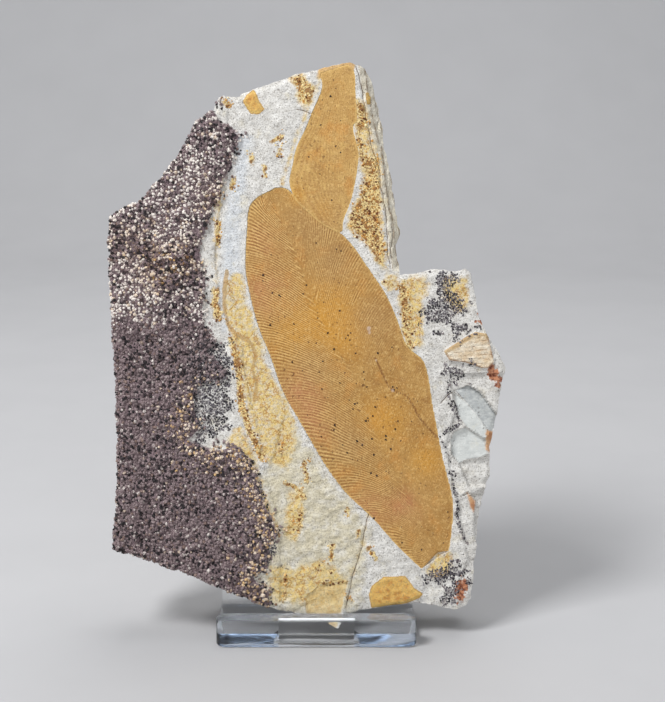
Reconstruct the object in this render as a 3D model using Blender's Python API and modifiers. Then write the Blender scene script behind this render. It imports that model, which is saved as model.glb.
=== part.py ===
"""A plate of pale rock with a fossil leaf on its face, resting in a small clear plastic stand.

World frame: metres, +Z up, +X to the viewer's right; the fossil's face looks towards -Y and up.
The origin is on the table, under the middle of the whole object's box.

The plate is described in its own frame, in millimetres:
  a  to the right of the stand's middle
  b  up the face, from the rock's lowest tip
  d  into the rock, from the bedding plane that holds the leaves
"""

import itertools
import math

import bmesh
import bpy
import numpy as np
from mathutils import Matrix

MM = 0.001

# Driving dimensions, in millimetres and degrees
LEAN_DEG = 14.0
PLATE_THICKNESS = 18.0
REST_GAP = 0.4
STAND_WIDTH = 59.4
LIP_DEPTH = 6.0
LIP_HEIGHT = 8.4
FLOOR = 2.6
SHEET = 3.0
REST_TOP = 72.0
SLOT_WIDTH = 22.5
WINDOW_TOP = 56.0
LEG_WIDTH = 21.5
FOOT_Y = 72.0
TIP_Y = 7.8

# Where the stand's middle and the lip's front face are in the world
STAND_X = 2.9
LIP_Y = -36.0

# Voxel of the plate's blank, and how much of its triangles stay after thinning
BLANK_VOXEL = 1.2
KEEP_RATIO = 0.105

# How far the two leaves' impressions lie below the rock's face, and where their cutters start
LEAF_DEPTH = 0.8
UPPER_LEAF_DEPTH = 0.45
CUT_FROM = 6.0

# The broken outline of the plate, clockwise from the top
OUTLINE = [
    (10.0, 169.7), (14.8, 167.8), (16.5, 164.1), (17.6, 159.3), (19.9, 150.6), (20.6, 144.9),
    (22.9, 133.5), (23.8, 125.0), (25.1, 118.5), (24.0, 114.9), (25.1, 105.6), (33.4, 106.8),
    (38.5, 107.4), (44.5, 107.7), (46.4, 106.5), (47.7, 98.1), (49.9, 90.3), (52.4, 86.7),
    (56.9, 77.7), (55.0, 68.1), (54.4, 62.7), (52.0, 52.5), (52.4, 46.5), (49.4, 36.9),
    (48.1, 26.1), (46.4, 8.1), (44.5, 6.3), (41.5, 5.1), (35.9, 6.6), (31.0, 7.2), (25.1, 6.6),
    (16.6, 5.7), (9.2, 3.9), (6.1, 0.0), (1.6, 1.5), (-3.4, 3.3), (-13.9, 6.0), (-25.9, 10.9),
    (-40.9, 17.1), (-61.0, 23.7), (-60.1, 32.1), (-59.4, 60.6), (-61.3, 95.1), (-62.2, 115.2),
    (-61.5, 123.3), (-58.0, 125.7), (-53.5, 127.2), (-43.6, 137.7), (-37.9, 147.0), (-35.5, 152.1),
    (-29.2, 158.7), (-22.9, 159.0), (-19.3, 161.4), (-7.9, 165.2), (5.8, 168.9),
]

# The large leaf at stations from its blunt tip to its base: left margin, midrib, right margin
LEAF_STATIONS = [
    [(-12.6, 132.1), (-10.5, 132.3), (-9.0, 132.5)],
    [(-16.1, 130.0), (-8.4, 129.3), (-7.0, 129.2)],
    [(-20.2, 125.4), (-6.4, 123.5), (-1.8, 123.8)],
    [(-21.4, 114.0), (-4.1, 116.1), (5.6, 119.8)],
    [(-21.5, 107.5), (-1.5, 111.0), (9.9, 115.9)],
    [(-20.6, 101.5), (1.7, 106.0), (13.6, 110.8)],
    [(-17.3, 89.0), (7.1, 95.1), (20.6, 100.4)],
    [(-14.0, 81.2), (10.6, 86.0), (24.3, 92.3)],
    [(-10.3, 70.9), (13.7, 77.1), (27.2, 84.3)],
    [(-5.2, 61.6), (18.0, 66.5), (32.6, 79.0)],
    [(2.9, 47.8), (22.6, 56.0), (35.2, 65.6)],
    [(9.4, 39.4), (26.6, 47.1), (37.8, 51.7)],
    [(16.0, 33.4), (30.2, 38.6), (40.7, 40.2)],
    [(23.5, 25.0), (33.3, 31.0), (41.2, 34.0)],
    [(28.4, 20.2), (35.4, 26.0), (40.6, 28.0)],
    [(31.4, 17.3), (36.4, 22.3), (40.0, 22.9)],
]

# Vein ridges on the large leaf: their spacing and reach along the midrib, and half their width
VEIN_SPACING = 4.3
VEIN_REACH = 15.0
VEIN_WIDTH = 0.42
MIDRIB_WIDTH = 0.65

# The second leaf, whose lower end lies over the large one
UPPER_LEAF = [
    (10.0, 169.7), (11.9, 157.8), (12.3, 144.0), (11.9, 134.8), (10.4, 127.9), (7.7, 118.4),
    (5.2, 119.6), (-1.9, 123.2), (-5.6, 127.0), (-8.3, 134.1), (-6.1, 143.7), (-1.5, 154.3),
    (1.6, 161.7), (0.4, 166.6),
]

# The coarse dark layer on the left: its inner edge, and then well outside the plate
GRANULAR_LAYER = [
    (-30.9, 170.0), (-30.9, 154.6), (-25.6, 150.0), (-23.2, 147.3), (-25.5, 137.4), (-28.6, 128.2),
    (-32.0, 121.3), (-35.1, 112.2), (-33.1, 102.3), (-33.6, 89.7), (-30.2, 84.0), (-26.9, 75.0),
    (-35.5, 72.9), (-36.6, 64.8), (-37.0, 55.0), (-23.6, 54.4), (-19.4, 49.2), (-15.2, 36.3),
    (-11.8, 28.2), (-14.3, 18.0), (-18.0, 14.0), (-14.4, 0.0), (-70.0, 0.0), (-70.0, 170.0),
]

# Layers that step down between the coarse layer and the large leaf
OUTER_LEDGE = [
    (-26.6, 170.0), (-26.6, 143.0), (-29.0, 126.0), (-30.6, 110.0), (-28.6, 95.0), (-22.5, 84.0),
    (-21.0, 72.0), (-17.5, 60.0), (-16.5, 51.0), (-12.0, 34.0), (-10.0, 0.0), (-70.0, 0.0),
    (-70.0, 170.0),
]
INNER_LEDGE = [
    (-27.0, 104.0), (-24.0, 96.0), (-20.0, 86.0), (-18.5, 78.0), (-13.5, 72.0), (-8.5, 65.0),
    (-11.0, 58.0), (-14.0, 48.0), (-70.0, 48.0), (-70.0, 104.0),
]

# The broken flank that falls away beyond the groove at the upper right
FLANK = [
    (11.9, 172.0), (13.7, 159.6), (14.9, 152.7), (18.2, 140.1), (19.1, 134.1), (21.5, 116.1),
    (22.6, 106.5), (32.0, 106.5), (32.0, 172.0),
]

# Shell-like chips at the lower right, each lower than the last
CHIPS = [
    [(39.8, 76.0), (41.9, 64.8), (39.8, 59.1), (38.9, 53.1), (40.7, 42.6), (42.2, 37.2),
     (44.0, 27.3), (45.5, 20.1), (42.5, 12.6), (43.5, 0.0), (62.0, 0.0), (62.0, 76.0)],
    [(43.0, 70.5), (51.5, 59.4), (44.9, 60.1), (43.2, 49.0), (50.9, 50.0), (62.0, 50.0),
     (62.0, 76.0), (48.0, 72.0)],
    [(43.2, 39.0), (45.3, 40.4), (47.9, 37.6), (47.4, 26.0), (62.0, 20.0), (62.0, 44.0)],
]

# The ribbed three-cornered fragment on the right shoulder
RIBBED_FRAGMENT = [(38.4, 82.8), (47.5, 88.5), (51.3, 87.9), (53.4, 79.5), (49.0, 78.0), (39.9, 80.1)]

# The lower right piece, a little below the rest along the crack
BELOW_CRACK = [
    (15.8, 34.2), (14.4, 29.1), (12.6, 20.4), (10.2, 14.0), (8.9, 6.6), (8.0, -2.0), (34.0, -2.0),
    (34.0, 18.0), (30.5, 16.6), (21.0, 26.4),
]


def clear_scene():
    for obj in list(bpy.data.objects):
        bpy.data.objects.remove(obj, do_unlink=True)


def new_collection(name):
    collection = bpy.data.collections.new(name)
    bpy.context.scene.collection.children.link(collection)
    return collection


def rock_material():
    material = bpy.data.materials.new("pale_rock")
    material.use_nodes = True
    shader = material.node_tree.nodes["Principled BSDF"]
    shader.inputs["Base Color"].default_value = (0.56, 0.44, 0.30, 1.0)
    shader.inputs["Roughness"].default_value = 0.85
    shader.inputs["Metallic"].default_value = 0.0
    return material


def clear_plastic_material():
    material = bpy.data.materials.new("clear_plastic")
    material.use_nodes = True
    shader = material.node_tree.nodes["Principled BSDF"]
    shader.inputs["Base Color"].default_value = (0.93, 0.96, 1.0, 1.0)
    shader.inputs["Roughness"].default_value = 0.05
    shader.inputs["Metallic"].default_value = 0.0
    shader.inputs["Transmission Weight"].default_value = 1.0
    shader.inputs["IOR"].default_value = 1.49
    return material


def smoothstep(value, low, high):
    """0 below low, 1 above high and an S-shaped rise between them."""
    t = np.clip((value - low) / (high - low), 0.0, 1.0)
    return t * t * (3.0 - 2.0 * t)


def lattice_noise(points, cell, seed):
    """Smooth noise from -1 to 1: a hashed value at each lattice corner, blended in between."""
    scaled = points / cell
    corner = np.floor(scaled).astype(np.int64)
    blend = scaled - corner
    blend = blend * blend * (3.0 - 2.0 * blend)
    primes = np.array([73856093, 19349663, 83492791], dtype=np.int64)
    total = np.zeros(len(points))
    for step in itertools.product((0, 1), repeat=3):
        key = ((corner + np.array(step)) * primes).sum(axis=1) + seed * 2654435761
        key = (key ^ (key >> 15)) * 2246822519 & 0xFFFFFFFF
        key = (key ^ (key >> 13)) * 3266489917 & 0xFFFFFFFF
        value = ((key ^ (key >> 16)) & 0xFFFF) / 32767.5 - 1.0
        total += value * np.prod(np.where(step, blend, 1.0 - blend), axis=1)
    return total


def rounded_lumps(flat, cell, seed):
    """Domes side by side, 1 at their tops and 0 in the creases between them.

    Each square of a lattice holds one centre, moved off the middle by hashed noise. A point's
    height falls with the square of its distance from the nearest centre.
    """
    corner = np.floor(flat / cell)
    nearest = np.full(len(flat), 9.0)
    for step in itertools.product((-1, 0, 1), repeat=2):
        square = corner + np.array(step)
        keys = np.column_stack([square, np.zeros(len(flat))])
        shift_x = lattice_noise(keys + 0.0, 1.0, seed)
        shift_y = lattice_noise(keys + 0.0, 1.0, seed + 50)
        centre = square + 0.5 + 0.42 * np.column_stack([shift_x, shift_y])
        nearest = np.minimum(nearest, np.linalg.norm(flat / cell - centre, axis=1))
    return np.maximum(1.0 - (nearest / 0.8) ** 2, 0.0)


def depth_inside(points, outline):
    """Distance from a closed outline, in millimetres: positive inside it, negative outside."""
    start = np.array(outline, dtype=float)
    end = np.roll(start, -1, axis=0)
    along = end - start
    offset = points[:, None, :] - start[None, :, :]
    t = (offset * along).sum(axis=2) / (along * along).sum(axis=1)
    foot = offset - np.clip(t, 0.0, 1.0)[:, :, None] * along
    distance = np.sqrt((foot * foot).sum(axis=2)).min(axis=1)
    px, py = points[:, 0, None], points[:, 1, None]
    crosses = (start[:, 1] > py) != (end[:, 1] > py)
    rise = np.where(along[:, 1] == 0.0, 1.0, along[:, 1])
    at_x = start[:, 0] + (py - start[:, 1]) * along[:, 0] / rise
    inside = (crosses & (px < at_x)).sum(axis=1) % 2 == 1
    return np.where(inside, distance, -distance)


def leaf_outline():
    """The large leaf's margin: down its left side and up its right one."""
    return [row[0] for row in LEAF_STATIONS] + [row[2] for row in reversed(LEAF_STATIONS)]


def leaf_point(along, across):
    """A point on the large leaf.

    along is the distance in millimetres up the midrib from the base; across is 0 on the midrib,
    -1 on the left margin and 1 on the right one. Stations are joined by straight lines.
    """
    stations = np.array(LEAF_STATIONS[::-1])
    midrib = stations[:, 1]
    steps = np.linalg.norm(np.diff(midrib, axis=0), axis=1)
    distance = np.concatenate([[0.0], np.cumsum(steps)])
    row = np.array([[np.interp(along, distance, stations[:, k, axis]) for axis in (0, 1)]
                    for k in range(3)])
    margin = row[0] if across < 0.0 else row[2]
    return row[1] + abs(across) * (margin - row[1])


def midrib_length():
    midrib = np.array([row[1] for row in LEAF_STATIONS])
    return np.linalg.norm(np.diff(midrib, axis=0), axis=1).sum()


def face_relief(points):
    """Height of the rock's face above the leaves' bedding plane, in millimetres."""
    flat = points[:, :2]
    edge = depth_inside(flat, OUTLINE)
    height = 0.5 * lattice_noise(points, 26.0, 1) + 0.25 * lattice_noise(points, 9.0, 2)

    coarse = smoothstep(depth_inside(flat, GRANULAR_LAYER), -0.8, 1.2)
    lumps = 1.3 * rounded_lumps(flat, 3.3, 3) + 0.7 * rounded_lumps(flat, 2.1, 4)
    height += coarse * (lumps + 0.4 * lattice_noise(points, 11.0, 10))
    height += 0.7 * smoothstep(depth_inside(flat, OUTER_LEDGE), -0.8, 0.8)
    height += 0.5 * smoothstep(depth_inside(flat, INNER_LEDGE), -0.8, 0.8)

    near_leaf = np.maximum(depth_inside(flat, leaf_outline()), depth_inside(flat, UPPER_LEAF))
    height *= 1.0 - 0.85 * smoothstep(near_leaf, -7.0, 0.0)

    fall = depth_inside(flat, FLANK)
    layers = np.floor(np.maximum(fall, 0.0) / 1.9)
    height -= np.where(fall > 0.0, 0.8 + 0.55 * fall + 0.35 * layers, 0.0)
    for drop, chip in zip((1.0, 1.2, 1.4), CHIPS):
        height -= drop * smoothstep(depth_inside(flat, chip), -0.3, 1.0)
    height += 1.0 * smoothstep(depth_inside(flat, RIBBED_FRAGMENT), -0.5, 0.8)
    height -= 0.35 * smoothstep(depth_inside(flat, BELOW_CRACK), -0.3, 0.5)

    chipped = 1.8 + 0.9 * lattice_noise(points, 5.0, 5)
    height -= chipped * np.exp(-np.maximum(edge, 0.0) / 1.3)
    return height


def back_relief(points):
    """How far the rock's back stands in from its hindmost plane, in millimetres."""
    flat = points[:, :2]
    rough = 1.2 + 1.3 * lattice_noise(points, 24.0, 6) + 0.4 * lattice_noise(points, 9.0, 7)
    broken_off = [(-70.0, 118.0), (-38.0, 112.0), (-20.0, 126.0), (-4.0, 148.0), (6.0, 175.0),
                  (-70.0, 175.0)]
    spall = [(30.0, 112.0), (24.0, 84.0), (34.0, 60.0), (38.0, 30.0), (62.0, 20.0), (62.0, 112.0)]
    rough += 3.4 * smoothstep(depth_inside(flat, broken_off), -1.5, 2.0)
    rough += 2.4 * smoothstep(depth_inside(flat, spall), -1.5, 2.5)
    edge = depth_inside(flat, OUTLINE)
    rough += 2.4 * np.exp(-np.maximum(edge, 0.0) / 2.2)
    return np.maximum(rough, 0.0)


def outward_direction(flat, outline):
    """Unit vector, for each point, square to the nearest stretch of a clockwise outline."""
    start = np.array(outline, dtype=float)
    end = np.roll(start, -1, axis=0)
    along = end - start
    offset = flat[:, None, :] - start[None, :, :]
    t = (offset * along).sum(axis=2) / (along * along).sum(axis=1)
    foot = offset - np.clip(t, 0.0, 1.0)[:, :, None] * along
    distance = np.sqrt((foot * foot).sum(axis=2))
    normal = np.stack([-along[:, 1], along[:, 0]], axis=1)
    normal /= np.linalg.norm(normal, axis=1)[:, None]
    weight = 1.0 / (distance + 0.8) ** 4
    mixed = (weight[:, :, None] * normal).sum(axis=1)
    return mixed / np.linalg.norm(mixed, axis=1)[:, None]


def mesh_from_outline(name, points, half_depth, rounding=0.0):
    """A flat outline, filled and extruded both ways by half_depth; lengths in millimetres.

    The outline is a 2D curve. Its sheet lies in the local XY plane, centred on it.
    """
    curve = bpy.data.curves.new(name, "CURVE")
    curve.dimensions = "2D"
    curve.fill_mode = "BOTH"
    curve.extrude = (half_depth - rounding) * MM
    curve.bevel_depth = rounding * MM
    curve.bevel_resolution = 2
    curve.offset = -rounding * MM
    spline = curve.splines.new("POLY")
    spline.points.add(len(points) - 1)
    for point, (x, y) in zip(spline.points, points):
        point.co = (x * MM, y * MM, 0.0, 1.0)
    spline.use_cyclic_u = True
    return mesh_from_curve(name, curve)


def mesh_from_curve(name, curve):
    holder = bpy.data.objects.new(name, curve)
    bpy.context.scene.collection.objects.link(holder)
    graph = bpy.context.evaluated_depsgraph_get()
    mesh = bpy.data.meshes.new_from_object(holder.evaluated_get(graph))
    bpy.data.objects.remove(holder, do_unlink=True)
    bpy.data.curves.remove(curve)
    mesh.name = name
    weld(mesh)
    return mesh


def weld(mesh):
    """Join the caps of a curve's mesh to its walls."""
    work = bmesh.new()
    work.from_mesh(mesh)
    bmesh.ops.remove_doubles(work, verts=work.verts, dist=0.00001)
    bmesh.ops.recalc_face_normals(work, faces=work.faces)
    work.to_mesh(mesh)
    work.free()


def rounded_corners(corners, steps=4):
    """Replace each corner (x, y, radius) of a polygon by an arc of that radius."""
    points = []
    count = len(corners)
    for i, (x, y, radius) in enumerate(corners):
        here = np.array([x, y])
        back = np.array(corners[i - 1][:2]) - here
        ahead = np.array(corners[(i + 1) % count][:2]) - here
        back /= np.linalg.norm(back)
        ahead /= np.linalg.norm(ahead)
        if radius == 0.0:
            points.append((x, y))
            continue
        half = math.acos(np.clip(back @ ahead, -1.0, 1.0)) / 2.0
        middle = back + ahead
        middle /= np.linalg.norm(middle)
        centre = here + middle * radius / math.sin(half)
        start = here + back * radius / math.tan(half) - centre
        end = here + ahead * radius / math.tan(half) - centre
        for k in range(steps + 1):
            mix = start * (1.0 - k / steps) + end * (k / steps)
            points.append(tuple(centre + mix * radius / np.linalg.norm(mix)))
    return points


def plate_blank():
    """The outline at full thickness, rebuilt as an even mesh so that its faces can be shaped."""
    mesh = mesh_from_outline("plate_blank", OUTLINE, PLATE_THICKNESS / 2.0)
    blank = bpy.data.objects.new("plate_blank", mesh)
    bpy.context.scene.collection.objects.link(blank)
    remesh = blank.modifiers.new("even_mesh", "REMESH")
    remesh.mode = "VOXEL"
    remesh.voxel_size = BLANK_VOXEL * MM
    graph = bpy.context.evaluated_depsgraph_get()
    even = bpy.data.meshes.new_from_object(blank.evaluated_get(graph))
    bpy.data.objects.remove(blank, do_unlink=True)
    return even


def shape_plate(mesh):
    """Move the blank's points to the rock's real faces, and turn it to its place in the world."""
    count = len(mesh.vertices)
    flat_array = np.empty(count * 3)
    mesh.vertices.foreach_get("co", flat_array)
    points = flat_array.reshape(count, 3) / MM
    points[:, 2] = np.clip(0.5 + points[:, 2] / PLATE_THICKNESS, 0.0, 1.0)

    face_side = points[:, 2]
    flat = points[:, :2].copy()
    solid = np.column_stack([flat, face_side * PLATE_THICKNESS])
    near_edge = np.exp(-np.maximum(depth_inside(flat, OUTLINE), 0.0) / 3.0)
    inset = (1.0 - face_side) * (1.6 + 1.2 * lattice_noise(solid, 14.0, 8))
    inset += 0.6 * lattice_noise(solid, 5.0, 9) * (1.0 - 0.6 * face_side) - BLANK_VOXEL / 3.0
    flat -= outward_direction(flat, OUTLINE) * (near_edge * inset)[:, None]

    on_plane = np.column_stack([solid[:, :2], np.zeros(count)])
    front = -face_relief(on_plane)
    back = PLATE_THICKNESS - back_relief(on_plane)
    depth = back + (front - back) * face_side

    lean = math.radians(LEAN_DEG)
    world = np.empty((count, 3))
    world[:, 0] = STAND_X + flat[:, 0]
    world[:, 1] = LIP_Y + TIP_Y + depth * math.cos(lean) + flat[:, 1] * math.sin(lean)
    world[:, 2] = FLOOR + REST_GAP - depth * math.sin(lean) + flat[:, 1] * math.cos(lean)
    world[:, 2] = np.maximum(world[:, 2], FLOOR + REST_GAP)
    mesh.vertices.foreach_set("co", (world * MM).ravel())
    mesh.update()


def face_matrix(out):
    """Takes a drawing's (x, y) to the face's (a, b), with its middle out mm in front of the face."""
    lean = math.radians(LEAN_DEG)
    turn = Matrix(((1, 0, 0), (0, math.sin(lean), -math.cos(lean)),
                   (0, math.cos(lean), math.sin(lean)))).to_4x4()
    tip = Matrix.Translation((STAND_X * MM, (LIP_Y + TIP_Y) * MM, (FLOOR + REST_GAP) * MM))
    return tip @ turn @ Matrix.Translation((0.0, 0.0, out * MM))


def leaf_cutter(name, outline, depth, cutters):
    half = (CUT_FROM + depth) / 2.0
    return helper(name, mesh_from_outline(name, outline, half), cutters,
                  face_matrix(CUT_FROM - half))


def leaf_veins(cutters):
    """A midrib with veins that leave it at a narrow angle and arch out to both margins.

    A vein that starts at distance s up the midrib is at s + reach (1 - (1 - r)^2) where it has
    gone the fraction r of the way to the margin.
    """
    length = midrib_length()
    ridges = [[(leaf_point(t, 0.0), MIDRIB_WIDTH) for t in np.linspace(1.5, length - 6.0, 14)]]
    for side in (-1.0, 1.0):
        for start in np.arange(-12.0, length - 14.0, VEIN_SPACING):
            way = np.array([r for r in (0.15, 0.3, 0.5, 0.72, 0.93)])
            along = start + VEIN_REACH * (1.0 - (1.0 - way) ** 2)
            kept = [(leaf_point(s, side * r), VEIN_WIDTH) for s, r in zip(along, way)
                    if 1.5 < s < length - 4.0]
            if len(kept) > 2:
                ridges.append(kept)
    curve = bpy.data.curves.new("leaf_veins", "CURVE")
    curve.dimensions = "3D"
    curve.bevel_depth = MM
    curve.bevel_resolution = 0
    curve.use_fill_caps = True
    for ridge in ridges:
        spline = curve.splines.new("POLY")
        spline.points.add(len(ridge) - 1)
        for point, (place, width) in zip(spline.points, ridge):
            point.co = (place[0] * MM, place[1] * MM, 0.0, 1.0)
            point.radius = width
    return helper("leaf_veins", mesh_from_curve("leaf_veins", curve), cutters,
                  face_matrix(-LEAF_DEPTH - 0.1))


def add_boolean(obj, operation, tool):
    modifier = obj.modifiers.new(tool.name, "BOOLEAN")
    modifier.operation = operation
    modifier.solver = "EXACT"
    modifier.object = tool


def fossil_slab(collection, cutters):
    mesh = plate_blank()
    shape_plate(mesh)
    mesh.name = "fossil_slab"
    mesh.materials.clear()
    mesh.materials.append(rock_material())
    slab = bpy.data.objects.new("fossil_slab", mesh)
    collection.objects.link(slab)
    thin = slab.modifiers.new("fewer_triangles", "DECIMATE")
    thin.ratio = KEEP_RATIO
    add_boolean(slab, "DIFFERENCE", leaf_cutter("upper_leaf", UPPER_LEAF, UPPER_LEAF_DEPTH, cutters))
    add_boolean(slab, "DIFFERENCE",
                leaf_cutter("large_leaf", leaf_outline(), LEAF_DEPTH, cutters))
    add_boolean(slab, "UNION", leaf_veins(cutters))


def rest_front(height):
    """Y of the back rest's front face at a height, measured from the lip's front."""
    lean = math.radians(LEAN_DEG)
    behind = (PLATE_THICKNESS + REST_GAP) / math.cos(lean)
    return TIP_Y + behind + (height - FLOOR - REST_GAP) * math.tan(lean)


def rest_back(height):
    return rest_front(height) + SHEET / math.cos(math.radians(LEAN_DEG))


def helper(name, mesh, cutters, matrix):
    """An object that only shapes another one."""
    tool = bpy.data.objects.new(name, mesh)
    tool.matrix_world = matrix
    tool.hide_render = True
    tool.display_type = "WIRE"
    cutters.objects.link(tool)
    return tool


def side_view_matrix():
    """Takes a drawing's (x, y) to the world's (Y, Z), with its thickness along X."""
    turn = Matrix(((0, 0, 1), (1, 0, 0), (0, 1, 0))).to_4x4()
    return Matrix.Translation((STAND_X * MM, LIP_Y * MM, 0.0)) @ turn


def front_view_matrix(y):
    """Takes a drawing's (x, y) to the world's (X, Z), with its middle y mm behind the lip's front."""
    turn = Matrix(((1, 0, 0), (0, 0, -1), (0, 1, 0))).to_4x4()
    return Matrix.Translation((STAND_X * MM, (LIP_Y + y) * MM, 0.0)) @ turn


def bent_sheet():
    """Floor and back rest: one sheet, bent up along its rear edge, in side view."""
    overlap = LIP_DEPTH / 2.0
    corners = [
        (overlap, 0.0, 0.0), (rest_back(0.0), 0.0, 4.0), (rest_back(REST_TOP), REST_TOP, 1.3),
        (rest_front(REST_TOP), REST_TOP, 1.3), (rest_front(FLOOR), FLOOR, 1.0),
        (overlap, FLOOR, 0.0),
    ]
    return mesh_from_outline("bent_sheet", rounded_corners(corners), STAND_WIDTH / 2.0)


def leg_profile():
    """The tongue pushed out of the back rest's window, down to the table, in side view."""
    top = WINDOW_TOP + 4.0
    slope = (FOOT_Y - rest_back(top)) / top
    thickness = SHEET * math.hypot(1.0, slope)
    inner_top = WINDOW_TOP + 1.5
    return [
        (rest_back(top) - 0.5, top), (FOOT_Y - top * slope, top), (FOOT_Y, 0.0),
        (FOOT_Y - thickness, 0.0), (FOOT_Y - thickness - inner_top * slope, inner_top),
    ]


def display_stand(collection, cutters):
    """One moulded piece: lip, floor, back rest with a window, and the leg behind it."""
    half = STAND_WIDTH / 2.0
    front_outline = rounded_corners([
        (-half - 1.0, -5.0, 0.0), (half + 1.0, -5.0, 0.0), (half + 1.0, 20.0, 0.0),
        (half, 21.0, 0.0), (half, REST_TOP, 5.0), (-half, REST_TOP, 5.0), (-half, 21.0, 0.0),
        (-half - 1.0, 20.0, 0.0),
    ])
    silhouette = helper("rest_silhouette", mesh_from_outline("rest_silhouette", front_outline, 60.0),
                        cutters, front_view_matrix(40.0))
    slot_half = SLOT_WIDTH / 2.0
    slot_outline = rounded_corners([
        (-slot_half, -3.0, 0.0), (slot_half, -3.0, 0.0), (slot_half, WINDOW_TOP, 2.0),
        (-slot_half, WINDOW_TOP, 2.0),
    ])
    slot = helper("slot_and_window", mesh_from_outline("slot_and_window", slot_outline, 40.0),
                  cutters, front_view_matrix(41.0))
    lip_half = LIP_DEPTH / 2.0
    lip_outline = rounded_corners([
        (-half, -lip_half, 2.9), (half, -lip_half, 2.9), (half, lip_half, 2.9),
        (-half, lip_half, 2.9),
    ], steps=6)
    lip_mesh = mesh_from_outline("lip_bar", lip_outline, LIP_HEIGHT / 2.0, rounding=0.5)
    lip_place = Matrix.Translation((STAND_X * MM, (LIP_Y + lip_half) * MM, LIP_HEIGHT * MM / 2.0))
    lip = helper("lip_bar", lip_mesh, cutters, lip_place)
    leg = helper("leg_tongue", mesh_from_outline("leg_tongue", leg_profile(), LEG_WIDTH / 2.0),
                 cutters, side_view_matrix())
    sill_outline = [(-12.75, -1.0), (12.75, -1.0), (12.75, 0.0), (slot_half, FLOOR),
                    (-slot_half, FLOOR), (-12.75, 0.0)]
    sill = helper("lip_sill", mesh_from_outline("lip_sill", sill_outline, 1.5), cutters,
                  front_view_matrix(LIP_DEPTH + 0.7))

    stand = bpy.data.objects.new("display_stand", bent_sheet())
    stand.matrix_world = side_view_matrix()
    stand.data.materials.clear()
    stand.data.materials.append(clear_plastic_material())
    collection.objects.link(stand)
    steps = [
        ("INTERSECT", silhouette), ("DIFFERENCE", slot), ("UNION", lip), ("UNION", leg),
        ("DIFFERENCE", sill),
    ]
    for operation, tool in steps:
        add_boolean(stand, operation, tool)


def main():
    clear_scene()
    collection = new_collection("fossil_leaf_on_stand")
    cutters = new_collection("cutters")
    fossil_slab(collection, cutters)
    display_stand(collection, cutters)


main()
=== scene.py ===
# %% [markdown]
# A broken plate of fine pale rock, with a fossil leaf pressed into its face, leans in a small clear
# plastic stand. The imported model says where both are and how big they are, and it stays as it is. This
# script makes the looks around it: finer surfaces in the same places, and node materials on them.
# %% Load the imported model, the fixed frame
import itertools
import math

import bmesh
import bpy
import numpy as np
from mathutils import Matrix, Vector


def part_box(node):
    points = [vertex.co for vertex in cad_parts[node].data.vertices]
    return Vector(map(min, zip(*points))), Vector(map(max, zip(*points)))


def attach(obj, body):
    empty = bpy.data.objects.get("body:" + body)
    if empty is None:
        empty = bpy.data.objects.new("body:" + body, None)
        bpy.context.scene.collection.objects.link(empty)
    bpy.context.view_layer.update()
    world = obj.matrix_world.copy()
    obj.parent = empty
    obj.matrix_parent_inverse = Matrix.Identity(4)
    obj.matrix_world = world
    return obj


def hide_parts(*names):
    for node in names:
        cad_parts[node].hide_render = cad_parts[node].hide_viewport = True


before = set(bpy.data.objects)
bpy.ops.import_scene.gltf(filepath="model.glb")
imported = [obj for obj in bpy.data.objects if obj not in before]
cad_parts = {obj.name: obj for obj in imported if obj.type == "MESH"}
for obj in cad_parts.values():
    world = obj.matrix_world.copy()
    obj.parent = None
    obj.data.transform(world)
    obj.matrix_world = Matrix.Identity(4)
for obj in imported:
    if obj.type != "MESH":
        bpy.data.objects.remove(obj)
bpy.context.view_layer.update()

# %% [markdown]
# The rock is a plate that leans back, so everything on it is easiest to say in the plate's own
# directions, in millimetres: a to the right of the stand's middle, b up the face from the lowest tip,
# and depth into the rock from the bedding plane that holds the leaves. One function turns these into
# metres in the world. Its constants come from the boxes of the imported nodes, so nothing is fitted by eye.
# %% The plate's own directions
MM = 0.001
LEAN = math.radians(14.0)
TIP_BEHIND_LIP = 7.8
PLATE_THICKNESS = 18.0

stand_low, stand_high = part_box("display_stand")
slab_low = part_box("fossil_slab")[0]
MIDDLE_X = (stand_low.x + stand_high.x) / 2 / MM
TIP_Y = stand_low.y / MM + TIP_BEHIND_LIP
TIP_Z = slab_low.z / MM


def to_world(a, b, depth):
    """Metres in the world of points on the plate: the plate's directions are turned by its lean.

    Nothing reaches below the lowest tip, where the rock rests on the stand's floor.
    """
    x = MIDDLE_X + a
    y = TIP_Y + depth * math.cos(LEAN) + b * math.sin(LEAN)
    z = TIP_Z - depth * math.sin(LEAN) + b * math.cos(LEAN)
    return np.stack([x, y, np.maximum(z, TIP_Z)], axis=-1) * MM


print("the tip stands at", to_world(0.0, 0.0, 0.0))

# %% [markdown]
# Broken stone is never smooth. The usual way to roughen it is noise: random values on a lattice of
# corners, blended in between. Two or three layers of it, each finer and weaker than the one before,
# look like a natural break. It is worked out for whole arrays at once, from hashed corner numbers,
# so every run gives the same stone.
# %% Noise on arrays of points
HASH_PRIMES = np.array([73856093, 19349663, 83492791], dtype=np.int64)


def noise(points, cell, seed):
    """Smooth noise from -1 to 1: a hashed value at each lattice corner, blended in between."""
    scaled = points / cell
    corner = np.floor(scaled).astype(np.int64)
    blend = scaled - corner
    blend = blend * blend * (3.0 - 2.0 * blend)
    primes = HASH_PRIMES[:points.shape[1]]
    total = np.zeros(len(points))
    for step in itertools.product((0, 1), repeat=points.shape[1]):
        key = ((corner + np.array(step)) * primes).sum(axis=1) + seed * 2654435761
        key = (key ^ (key >> 15)) * 2246822519 & 0xFFFFFFFF
        key = (key ^ (key >> 13)) * 3266489917 & 0xFFFFFFFF
        value = ((key ^ (key >> 16)) & 0xFFFF) / 32767.5 - 1.0
        total += value * np.prod(np.where(step, blend, 1.0 - blend), axis=1)
    return total


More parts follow.
